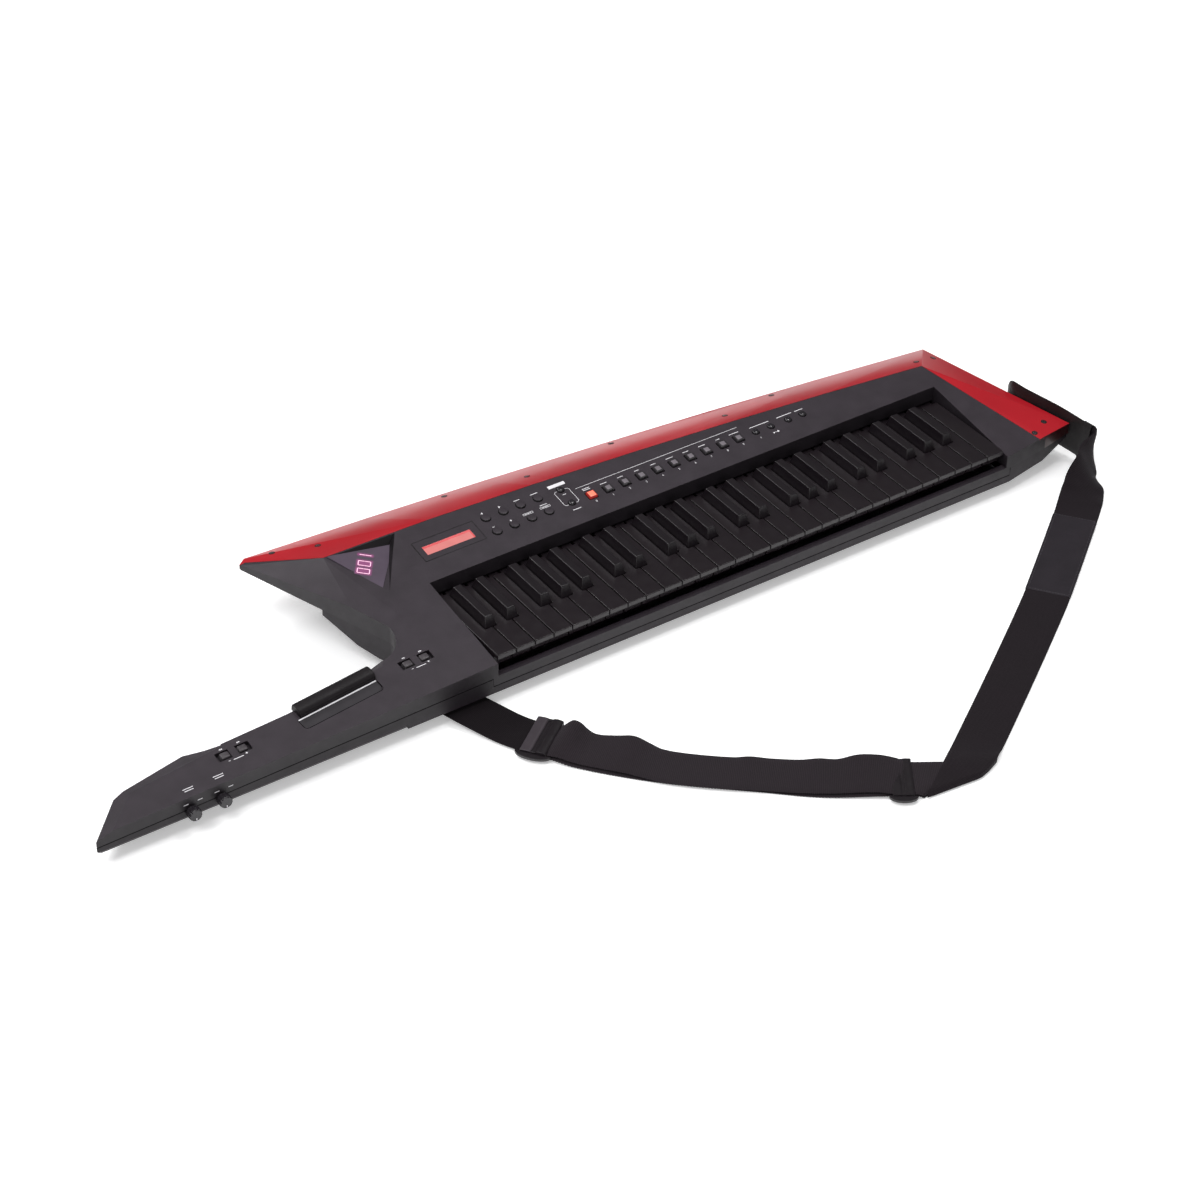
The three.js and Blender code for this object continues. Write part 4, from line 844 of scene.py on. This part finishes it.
def knob(name, x):
    matrix = frame_of(at(x, NECK_WALL_Y, -26.0 + 0.0185 * x), (1, 0, 0), (0, -1, 0))
    bm = bmesh.new()
    add_lathe(bm, matrix, [(3.0, -7), (3.0, 0.9), (5.6, 1.0)], 32)
    grip = [(6.7, 0.8), (7.2, 1.3), (7.2, 8.6), (6.9, 9.9), (6.3, 10.5), (5.9, 10.6), (5.6, 10.35),
            (0.3, 10.45)]
    add_lathe(bm, matrix, grip, 96, flutes=16, depth=0.55)
    add_prism(bm, matrix, rounded(-0.45, 0.45, -6.2, -3.2, 0.4, 3), 10.2, 10.52, 1)
    made = piece(bm, f"{name}_cap", GLOSS, PRINT, body=name, slot="controls")
    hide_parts(name)


knob("volume_knob", -362.0)
knob("control_knob", -328.0)


# Rockers: a paler cap at each end, and the bridge of the casing over the middle

def rocker_caps(name, cx, cy):
    matrix = panel_frame(cx, cy)
    bm = bmesh.new()
    for middle in (-10, 10):
        rows = []
        for less, z in ((0.0, -1.2), (0.0, 0.2), (0.25, 0.6), (0.8, 0.85)):
            reach_x, reach_y = 4.8 - less, 3.8 - less
            outline = rounded(middle - reach_x, middle + reach_x, -reach_y, reach_y, 1.2, 3)
            rows.append(raised(outline, z))
        add_loft(bm, matrix, rows)
    piece(bm, f"{name}_caps", ROCKER_CAP, body=name, slot="controls", smooth=40)
    bridge = bmesh.new()
    add_prism(bridge, matrix, rectangle(-3.9, 3.9, -6.3, 6.3), -1.3, -0.1)
    piece(bridge, f"{name}_bridge", SHELL, slot="casing", smooth=20)


for name, place in ROCKERS.items():
    rocker_caps(name, *place)


# Neck: a white strip by the ribbon as painted highlight, and dark bands of painted shade round the
# ribbon and along the seam of the front wall

def neck_trim():
    matrix = panel_frame(-170.09, 44.0, 5)
    line = bmesh.new()
    # A white strip at the ribbon's back edge: painted highlight of its lit edge.
    add_prism(line, matrix, rectangle(-50.4, 46.2, -10.7, -9.0), -1.2, -0.45)
    piece(line, "ribbon_painted_highlight", PRINT, slot="ribbon", smooth=20)

    # Flat dark bands round the ribbon and along the front wall's seam: painted shade.
    bm = bmesh.new()
    x0, x1, y0, y1, corner = -51.35, 46.35, -24.85, -9.4, 4.5
    left = [(x0, y1), (x0, y0 + corner), (x0 + 0.6, y0 + 2.2), (x0 + 2.2, y0 + 0.6),
            (x0 + corner, y0)]
    right = [(x0 + x1 - x, y) for x, y in reversed(left)]
    add_band(bm, matrix, left + right, 0.75, -0.9, 0.03)
    front = frame_of(at(0, NECK_WALL_Y, 0), (1, 0, 0), (0, -1, 0))
    seam = [(-466.0, -32.3), (-8.15, -23.85), (-8.15, -33.75), (689.65, -33.75), (689.65, -23.65)]
    add_band(bm, front, seam, 1.1, -0.3, 0.05)
    piece(bm, "neck_grooves", PAINTED_GAP_SHADE, slot="casing", smooth=30)


neck_trim()


# Screws: on the blade and under the belly and the neck

BLADE_SCREWS = [
    (-113, 273), (-69, 250), (98, 262), (190, 236), (311, 248), (446, 215), (523, 229),
    (700, 183), (731, 189), (738, 12), (762, 24),
]
BELLY_SCREWS = [
    (60, 60), (60, 150), (240, 45), (240, 148), (420, 60), (420, 148), (600, 60), (600, 140),
]
NECK_SCREWS = [(-430, 18), (-260, 18), (-110, 18)]


def surface_under(name, x, y, up=True):
    """The point and normal of a CAD node's surface over or under a plan point."""
    node = frame["nodes"][name]
    way = 1 if up else -1
    start = node.matrix_world.inverted() @ at(x, y, 120 * way)
    found, place, normal, _ = node.ray_cast(start, Vector((0, 0, -way)))
    if not found:
        raise ValueError(f"no surface of {name} at {x}, {y}")
    return node.matrix_world @ place, normal


def add_screw(bm, place, normal, radius, proud=1.0):
    """A cross-head screw on a dark disc whose colour is painted shade for its hole."""
    matrix = frame_of(place, (1, 0.2, 0), normal) @ Matrix.Scale(proud, 4, (0, 0, 1))
    add_lathe(bm, matrix, [(radius, -0.3), (radius, 0.05), (radius - 0.2, 0.06), (0.2, 0.05)], 28)
    head = [(radius * 0.62, 0.0), (radius * 0.62, 0.14), (radius * 0.5, 0.2), (0.2, 0.2)]
    add_lathe(bm, matrix, head, 24, index=1)
    reach = radius * 0.42
    for turn in (20, 110):
        cross = matrix @ Matrix.Rotation(math.radians(turn), 4, "Z")
        add_prism(bm, cross, rectangle(-reach, reach, -0.22, 0.22), 0.1, 0.24)


def screws():
    bm = bmesh.new()
    for x, y in BLADE_SCREWS:
        add_screw(bm, *surface_under("edge_blade", x, y), radius=3.6)
    piece(bm, "blade_screws", PAINTED_RECESS_SHADE, SCREW, slot="metal", smooth=30)
    bm = bmesh.new()
    for x, y in BELLY_SCREWS:
        add_screw(bm, *surface_under("lower_casing", x, y, up=False), radius=3.4, proud=0.6)
    for x, y in NECK_SCREWS:
        add_screw(bm, *surface_under("lower_casing", x, y, up=False), radius=2.8)
    piece(bm, "casing_screws", PAINTED_RECESS_SHADE, SCREW, slot="metal", smooth=30)


screws()


# Floor

def floor():
    """White to the camera and in reflections, more so far out where less light falls."""
    bm = bmesh.new()
    half = 2.3
    bm.faces.new([bm.verts.new((x, y, -0.0002)) for x, y in rectangle(-half, half, -half, half)])
    mesh = bpy.data.meshes.new("floor")
    bm.to_mesh(mesh)
    bm.free()
    n = Nodes("floor_white")
    n.set(Specular_IOR_Level=0.1, Roughness=0.9, Emission_Color=(1, 1, 1, 1))
    away = n.add("ShaderNodeVectorMath", operation="LENGTH")
    n.link(n.coords.outputs["Object"], away.inputs[0])
    far = n.spread(away.outputs["Value"], 0.3, 0.9, 1.1, 2.0)
    path = n.add("ShaderNodeLightPath").outputs
    seen = n.math("MAXIMUM", path["Is Camera Ray"],
                  n.math("MAXIMUM", path["Is Glossy Ray"], path["Is Transmission Ray"]))
    n.link(n.math("MULTIPLY", seen, far), n.shader.inputs["Emission Strength"])
    low, high = (0.93, 0.93, 0.935), (0.945, 0.945, 0.95)
    mesh.materials.append(n.paint(n.ramp(n.noise(3, 2.0), (0.3, low), (0.7, high))))
    made = linked("floor", mesh)


floor()


# Strap: sheets of webbing between the two pins, with sliders, a sewn patch and a leather tab

REACH_X, REACH_Y = 859.53, 385.0
NECK_PIN = (-62.0, 40.0)
STRAP_WIDTH = 50.0
WEB_THICKNESS, LAYER_THICKNESS = 2.0, 1.8

# Each run's centre line: shares of the reach in X and in Y, lift off the floor and turn about
# the line in degrees
NECK_ROWS = [
    (-0.02, 0.055, 9, 0), (0.01, -0.02, 9, 0), (0.0315, -0.14, 6, 0), (0.05, -0.235, 2.3, 0),
    (0.0655, -0.303, 2.3, 0),
]
MIDDLE_ROWS = [
    (0.0657, -0.3037, 2.3, 0), (0.087, -0.3805, 2.3, 0), (0.1006, -0.4244, 0.6, 0),
    (0.1311, -0.5062, 0, 0), (0.1678, -0.5945, 0, 0), (0.2016, -0.6649, 0, 0),
    (0.2527, -0.7635, 0, 0), (0.305, -0.866, 0, 0), (0.3605, -0.952, 2.3, 0),
    (0.4075, -1.0195, 2.3, 0), (0.42, -1.037, 0, 0),
]
BODY_ROWS = [
    (0.4487, -1.0649, 5.2, 0), (0.4583, -1.0502, 5.2, 0), (0.4774, -1.0205, 5.0, 0),
    (0.4966, -0.9909, 1.8, 0), (0.5186, -0.957, 0.2, 0), (0.565, -0.8873, 0, 0),
    (0.643, -0.7688, 0, 0), (0.7385, -0.6208, 0, 0), (0.788, -0.5397, 0, 0), (0.9, -0.3475, 0, 0),
    (0.9358, -0.285, 0, 8), (0.9556, -0.2496, 0, 25), (0.9797, -0.1969, 0, 65),
]

# The upper layer of the middle run: its lift off the lower one and its slip towards the body,
# at shares of the run's length
OVER_LIFT = [
    (0.0, 0.0), (0.045, 0.0), (0.08, 12.0), (0.115, 6.5), (0.145, 1.5), (0.2, 5.0), (0.245, 9.0),
    (0.29, 3.6), (0.32, 0.3), (0.5, 0.3), (0.54, 2.6), (0.59, 1.2), (0.66, 2.0), (0.71, 4.6),
    (0.76, 3.4), (0.81, 8.5), (0.85, 8.0), (0.88, 5.0), (0.905, 0.0), (1.0, 0.0),
]
OVER_SLIP = [
    (0.0, 0.0), (0.05, 0.5), (0.1, 3.0), (0.25, 3.0), (0.35, -1.6), (0.5, -2.0), (0.62, 0.5),
    (0.74, 3.2), (0.85, 3.0), (0.91, 0.0), (1.0, 0.0),
]

# The tab's frame on the right-hand pin: X along the wall to the back, Y up, Z out of the wall
WALL_OUT = Vector((204, 53, 0)).normalized()
WALL_ALONG = Vector((0, 0, 1)).cross(WALL_OUT)
PIN = Vector((770.88, 74.98, -21.0))
TAB_TILT = math.radians(6)
TAB_START = -88.0
TAB_THICKNESS, TAB_CORNER = 3.4, 16.0


def on_tab(x, out):
    """A standing point of the tab's centre line, in the drawing's millimetres."""
    y = 6
    turned_x = x * math.cos(TAB_TILT) - y * math.sin(TAB_TILT)
    turned_y = x * math.sin(TAB_TILT) + y * math.cos(TAB_TILT)
    return PIN + WALL_ALONG * turned_x + Vector((0, 0, turned_y)) + WALL_OUT * (out + 2.1), 90


def stations(rows, thickness, offset=0.0):
    """The rows of a run as (centre, turn) points."""
    made = []
    for share_x, share_y, lift, turn in rows:
        angle = math.radians(turn)
        rise = (math.sin(angle) * STRAP_WIDTH + math.cos(angle) * thickness) / 2
        made.append((Vector((
            NECK_PIN[0] + share_x * REACH_X, NECK_PIN[1] + share_y * REACH_Y,
            FLOOR + lift + rise + offset,
        )), turn))
    return made


def table_at(rows, share):
    """The value at a share on a smooth curve through (share, value) rows, never under zero
    between two rows that aren't."""
    for i, ((a, low), (b, high)) in enumerate(zip(rows, rows[1:])):
        if share <= b:
            before, after = rows[max(i - 1, 0)], rows[min(i + 2, len(rows) - 1)]
            span, u = b - a, max(0.0, (share - a) / (b - a))
            start = (high - before[1]) / (b - before[0]) * span
            end = (after[1] - low) / (after[0] - a) * span
            value = (
                low * (2 * u ** 3 - 3 * u * u + 1) + start * (u ** 3 - 2 * u * u + u)
                + high * (3 * u * u - 2 * u ** 3) + end * (u ** 3 - u * u)
            )
            return value if min(low, high) < 0 else max(value, 0.0)
    return rows[-1][1]


def smooth_path(points, step):
    """(distance, centre, turn) samples on a smooth curve through (centre, turn) points."""
    spots = [p for p, _ in points]
    spots = [spots[0] * 2 - spots[1]] + spots + [spots[-1] * 2 - spots[-2]]
    turns = [points[0][1]] + [t for _, t in points] + [points[-1][1]]
    samples = []
    for i in range(1, len(spots) - 2):
        a, b, c, d = spots[i - 1:i + 3]
        count = max(2, round((c - b).length / step))
        for k in range(count):
            u = k / count
            ease = u * u * (3 - 2 * u)
            centre = 0.5 * (
                2 * b + (c - a) * u + (2 * a - 5 * b + 4 * c - d) * u * u
                + (3 * b - a - 3 * c + d) * u ** 3
            )
            samples.append((centre, turns[i] + (turns[i + 1] - turns[i]) * ease))
    samples.append((spots[-2], turns[-2]))
    path, distance = [], 0.0
    for i, (centre, turn) in enumerate(samples):
        if i:
            distance += (centre - samples[i - 1][0]).length
        path.append((distance, centre, turn))
    return path


def strip_frames(points, step=3.0):
    """(distance, centre, along, side, face) down the smooth path, in millimetres."""
    path = smooth_path(points, step)
    made = []
    for i, (distance, centre, turn) in enumerate(path):
        before, after = path[max(i - 1, 0)][1], path[min(i + 1, len(path) - 1)][1]
        along = (after - before).normalized()
        level = Vector((along.y, -along.x, 0)).normalized()
        side = Matrix.Rotation(math.radians(turn), 3, along) @ level
        made.append((distance, centre, along, side, side.cross(along).normalized()))
    return made


def still(distance, share):
    return 0.0


def full_width(distance, length):
    return STRAP_WIDTH / 2


def strip(name, points, thickness, material, slot, step=3.0, columns=14, half=full_width,
          crown=0.0, shift=still, lift=still, skew=still):
    """A closed strip. half gives its half width by (distance, length). shift, lift and skew
    move a point sideways, off its face and along it, by (distance, share of the half width)."""
    frames = strip_frames(points, step)
    length = frames[-1][0]
    bm = bmesh.new()
    layer = bm.loops.layers.uv.new("UVMap")
    place = {}
    rows = []
    for distance, centre, along, side, face in frames:
        forward = Vector((along.x, along.y, 0)).normalized()
        row = []
        for over in (1, -1):
            line = []
            for j in range(columns + 1):
                share = 2 * j / columns - 1
                v = share * half(distance, length)
                edge = 0.35 if abs(share) == 1 else 1.0
                high = over * thickness / 2 * edge + crown * (1 - share * share)
                slid = skew(distance, share)
                spot = (centre + side * (v + shift(distance, share))
                        + face * (lift(distance, share) + high) + forward * slid)
                vert = bm.verts.new(at(*spot))
                place[vert] = ((distance + slid) * MM, v * MM + (0 if over > 0 else 0.2))
                line.append(vert)
            row.append(line)
        rows.append(row)
    for (top_a, low_a), (top_b, low_b) in zip(rows, rows[1:]):
        for j in range(columns):
            bm.faces.new((top_a[j], top_a[j + 1], top_b[j + 1], top_b[j]))
            bm.faces.new((low_a[j], low_b[j], low_b[j + 1], low_a[j + 1]))
        for j in (0, columns):
            bm.faces.new((top_a[j], top_b[j], low_b[j], low_a[j]))
    for top, low in (rows[0], rows[-1]):
        for j in range(columns):
            bm.faces.new((top[j], low[j], low[j + 1], top[j + 1]))
    for face in bm.faces:
        for loop in face.loops:
            loop[layer].uv = place[loop.vert]
    return piece(bm, name, material, slot=slot, smooth=50), length, frames


def faded(distance, reach=90.0):
    return max(0.0, 1.0 - distance / reach) ** 2


def fold_start(distance, share):
    """The slanting folded end of the body run, with its outer corner rounded."""
    v = share * STRAP_WIDTH / 2
    corner = 0.2 * max(0.0, v - 15) ** 2
    return (1.2 * v - 14 + corner) * faded(distance)


def fold_end(points, step):
    """The same fold at the end of a run of the middle webbing."""
    length = strip_frames(points, step)[-1][0]
    return lambda distance, share: (13 - 1.2 * share * STRAP_WIDTH / 2) * faded(length - distance)


def fold_drop(distance, share):
    """Down over the fold's edge, then a slight ripple."""
    down = -3.6 * max(0.0, 1.0 - distance / 5) ** 2
    return down + 0.2 * (1 + math.sin(distance / 17 + share)) * (1 - share * share)


def neck_ripple(distance, share):
    return 0.35 * (1 + math.sin(distance / 13)) * (1 - share * share)


def picot(distance, share):
    """The looped edge of the webbing's selvedge."""
    return share * 0.55 * math.sin(distance * 2.1) if abs(share) == 1 else 0.0


def strap():
    neck, neck_length, _ = strip(
        "neck_strap", stations(NECK_ROWS, WEB_THICKNESS), WEB_THICKNESS, NECK_WEB_PAINTED_SHADE, "webbing",
        lift=neck_ripple,
    )
    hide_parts("neck_webbing")

    low_points = stations(MIDDLE_ROWS, 4.4, -1.2)
    under, under_length, _ = strip(
        "middle_strap_under", low_points, LAYER_THICKNESS, WEBBING, "webbing", step=1.0,
        columns=10, shift=picot, skew=fold_end(low_points, 1.0),
    )

    def waves(distance, share):
        """How far the loose upper layer stands off the lower one, most at its far edge."""
        return table_at(OVER_LIFT, distance / under_length) * (0.55 - 0.45 * share)

    def slip(distance, share):
        return -table_at(OVER_SLIP, distance / under_length)

    high_points = stations(MIDDLE_ROWS, 4.4, 1.1)
    over, over_length, _ = strip(
        "middle_strap_over", high_points, LAYER_THICKNESS, WEBBING, "webbing",
        step=2.0, lift=waves, shift=slip, skew=fold_end(high_points, 2.0),
    )
    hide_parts("middle_webbing")

    tail = [on_tab(TAB_START - reach, 1.5) for reach in (12.5, 0.3)]
    long, long_length, frames = strip(
        "body_strap", stations(BODY_ROWS, WEB_THICKNESS) + tail, WEB_THICKNESS, BODY_WEB_PAINTED_SHADE,
        "webbing", step=2.0, lift=fold_drop, skew=fold_start,
    )
    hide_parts("body_webbing")
    return long_length, frames


strap_length, strap_frames = strap()


def tab_half(distance, length):
    """Half the tab's width, drawn in at its round free corners."""
    past = TAB_CORNER - (length - distance)
    return STRAP_WIDTH / 2 - (
        TAB_CORNER - math.sqrt(max(0.0, TAB_CORNER ** 2 - past ** 2)) if past > 0 else 0
    )


def keeper_half(distance, length):
    return STRAP_WIDTH / 2 + 0.9


def end_tab():
    """The leather tab on the pin: a thick strip that bows off the wall, its free end curled.
    A keeper holds the webbing's end to it."""
    bow = (
        (TAB_START, 0.4), (-68, 1.8), (-45, 2.4), (-20, 1.2), (0, 0.4), (14, 1.6), (22, 5),
        (27, 10),
    )
    made, _, frames = strip(
        "strap_end_tab", [on_tab(x, 1.5 + out) for x, out in bow], TAB_THICKNESS, LEATHER, "tab",
        step=1.5, columns=12, half=tab_half, crown=0.3,
    )
    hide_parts("strap_tab")
    strip("strap_keeper", [on_tab(TAB_START + x, 1.9) for x in (-6, -2, 2, 5)], 5.6, LEATHER,
          "tab", step=1.5, columns=12, half=keeper_half)
    return frames


tab_frames = end_tab()


def sewn_patch():
    """The smooth blank patch sewn over the strap's long run."""
    start, end = strap_length * 0.55, strap_length * 0.80
    rows = [f for f in strap_frames if start <= f[0] <= end]
    columns, half = 12, 25.4
    bm = bmesh.new()
    lines = []
    for distance, centre, along, side, face in rows:
        rim = max(0.0, min(1.0, (distance - start) / 1.2, (end - distance) / 1.2))
        line = []
        for j in range(columns + 1):
            share = 2 * j / columns - 1
            high = 1.0 + 0.75 * rim * (0.3 if abs(share) == 1 else 1)
            line.append(bm.verts.new(at(*(centre + side * (share * half) + face * high))))
        lines.append(line)
    for a, b in zip(lines, lines[1:]):
        for j in range(columns):
            bm.faces.new((a[j], a[j + 1], b[j + 1], b[j]))
    made = piece(bm, "strap_patch", PATCH, slot="webbing", smooth=60)
    modified(made, "thick", "SOLIDIFY", thickness=0.7 * MM, offset=-1)
    return start, end


patch_start, patch_end = sewn_patch()


def slider(name, node, centre, along, stretch, height, plate):
    """A moulded slider: a floor bar, two sides, a flat bar and a round one on top, and a grip
    that reaches out in front. Its length along the webbing and its bars' height vary."""
    matrix = frame_of(at(*centre, FLOOR), (*along, 0), (0, 0, 1))
    upright = matrix @ Matrix.Rotation(math.radians(90), 4, "X")
    bm = bmesh.new()
    half = STRAP_WIDTH / 2
    top = 7

    def beam(outline, reach, index=0):
        points = [(x * stretch, y if y < top else top + (y - top) * height) for x, y in outline]
        add_prism(bm, upright, points, -half - reach, half + reach, index)

    beam([(-11, 7), (-1.6, 7), (-1.6, 8.2), (-2.6, 9.3), (-4, 9.6), (-9.6, 9.0), (-11, 8.2)],
         3.4, 1)
    beam([(1.8, 7), (11, 7), (11, 8.4), (10, 9.8), (8, 10.6), (5.4, 10.8), (3.2, 10.2),
          (1.8, 8.8)], 3.4)
    beam([(-2, 6.9), (2.2, 6.9), (2.2, 7.5), (-2, 7.5)], 3.4)
    beam([(-10.6, 0.05), (10.6, 0.05), (11, 0.8), (10, 2), (-10, 2), (-11, 0.8)], 3.2)
    side = rounded(-11 * stretch, 11 * stretch, 0.3, 7.2 + 1.4 * height, 2.6, 4)
    for low, high in ((-half - 3.4, -half - 0.4), (half + 0.4, half + 3.4)):
        add_prism(bm, upright, side, low, high)
    turns = [math.radians(v) for v in range(180, 361, 12)]
    grip = [(15 * stretch * math.cos(a), 8.5 * math.sin(a) - half - 2.6) for a in turns]
    add_prism(bm, matrix, grip, 3.4, 6.4)
    made = piece(bm, name, SLIDER, plate, slot="controls", smooth=30)
    bevelled(made, 0.5, angle_limit=math.radians(40))
    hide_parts(node)


# The neck slider's flat bar is paler: painted light.
slider("strap_slider_neck_end", "neck_slider", (0.0, -83.7), (0.60, -0.80), 1.3, 0.8,
       SLIDER_PLATE_PAINTED_LIGHT)
slider("strap_slider_body_end", "body_slider", (268.1, -339.4), (0.83, -0.557), 1.0, 0.35,
       SLIDER)


def frame_near(frames, distance, across, out):
    """The strip's own frame at a distance along it: X along, Y across, Z off its face."""
    _, centre, along, side, face = min(frames, key=lambda f: abs(f[0] - distance))
    made = Matrix((along, -side, face)).transposed().to_4x4()
    made.translation = at(*(centre + side * across + face * out))
    return made


def stitches():
    """Thread: short capsules along lines of a strip, sunk in its face."""
    bm = bmesh.new()
    pitch, long, thin = 3.2, 1.15, 0.32

    def run(frames, start, end, out):
        """A line of stitches between two (distance, across) places."""
        gap = Vector(end) - Vector(start)
        u, v = (long, thin) if gap.x else (thin, long)
        count = max(1, int(gap.length / pitch))
        for i in range(count):
            spot = Vector(start) + gap * ((i + 0.5) / count)
            matrix = frame_near(frames, *spot, out)
            add_prism(bm, matrix, rounded(-u, u, -v, v, 0.3, 2), -0.3, 0.22)

    for frames, start, end, reach, out in (
        (strap_frames, patch_start + 3, patch_end - 3, 22.6, 1.75), (tab_frames, 7, 26, 20, 2.0),
    ):
        for side in (-reach, reach):
            run(frames, (start, side), (end, side), out)
        for spot in (start, end):
            run(frames, (spot, -reach), (spot, reach), out)
    piece(bm, "strap_stitching", THREAD, slot="webbing")


stitches()


# Light and camera

def world():
    """White to the camera, dimmer as light on the surfaces and dimmest in their reflections."""
    made = bpy.data.worlds.new("studio")
    bpy.context.scene.world = made
    made.use_nodes = True
    tree = made.node_tree
    add, link = tree.nodes.new, tree.links.new
    background = tree.nodes["Background"]
    path = add("ShaderNodeLightPath")
    mirrored = add("ShaderNodeMapRange")
    mirrored.inputs["To Min"].default_value = 0.45
    mirrored.inputs["To Max"].default_value = 0.1
    link(path.outputs["Is Glossy Ray"], mirrored.inputs["Value"])
    bright = add("ShaderNodeMath")
    bright.operation = "MAXIMUM"
    link(path.outputs["Is Camera Ray"], bright.inputs[0])
    link(mirrored.outputs["Result"], bright.inputs[1])
    link(bright.outputs["Value"], background.inputs["Strength"])
    background.inputs["Color"].default_value = (1, 1, 1, 1)


def lamp(name, place, target, size, power):
    data = bpy.data.lights.new(name, "AREA")
    data.shape = "RECTANGLE"
    data.size, data.size_y = size
    data.energy = power
    made = linked(name, data)
    made.location = place
    made.rotation_mode = "QUATERNION"
    made.rotation_quaternion = (Vector(target) - Vector(place)).to_track_quat("-Z", "Y")


def camera():
    """The photo's camera, as fitted to the joints between the keys."""
    data = bpy.data.cameras.new("camera")
    data.sensor_width = 36
    data.lens = 92.847
    data.clip_start, data.clip_end = 0.05, 60
    made = linked("camera", data)
    bpy.context.scene.camera = made
    yaw, pitch, roll = (math.radians(v) for v in (34.406, 37.168, 0.521))
    forward = Vector((
        math.sin(yaw) * math.cos(pitch), math.cos(yaw) * math.cos(pitch), -math.sin(pitch),
    ))
    right = Vector((math.cos(yaw), -math.sin(yaw), 0))
    up = right.cross(forward)
    side = right * math.cos(roll) + up * math.sin(roll)
    top = up * math.cos(roll) - right * math.sin(roll)
    turned = Matrix((side, top, -forward)).transposed().to_4x4()
    turned.translation = at(-1335.35, -2136.93, 1982.93)
    made.matrix_world = turned


world()
lamp("left_light", (-1.7, 0.1, 2.5), (0, 0, 0), (1.8, 1.4), 42)
lamp("back_light", (-0.9, 1.9, 2.0), (0, 0, 0), (1.4, 0.4), 16)
lamp("top_light", (0.7, 0.0, 2.7), (0, 0, 0), (1.0, 0.7), 24)
lamp("front_light", (-0.9, -2.7, 1.0), (0, 0, 0.05), (2.2, 0.7), 15)
camera()

scene = bpy.context.scene
scene.view_settings.view_transform = "Standard"
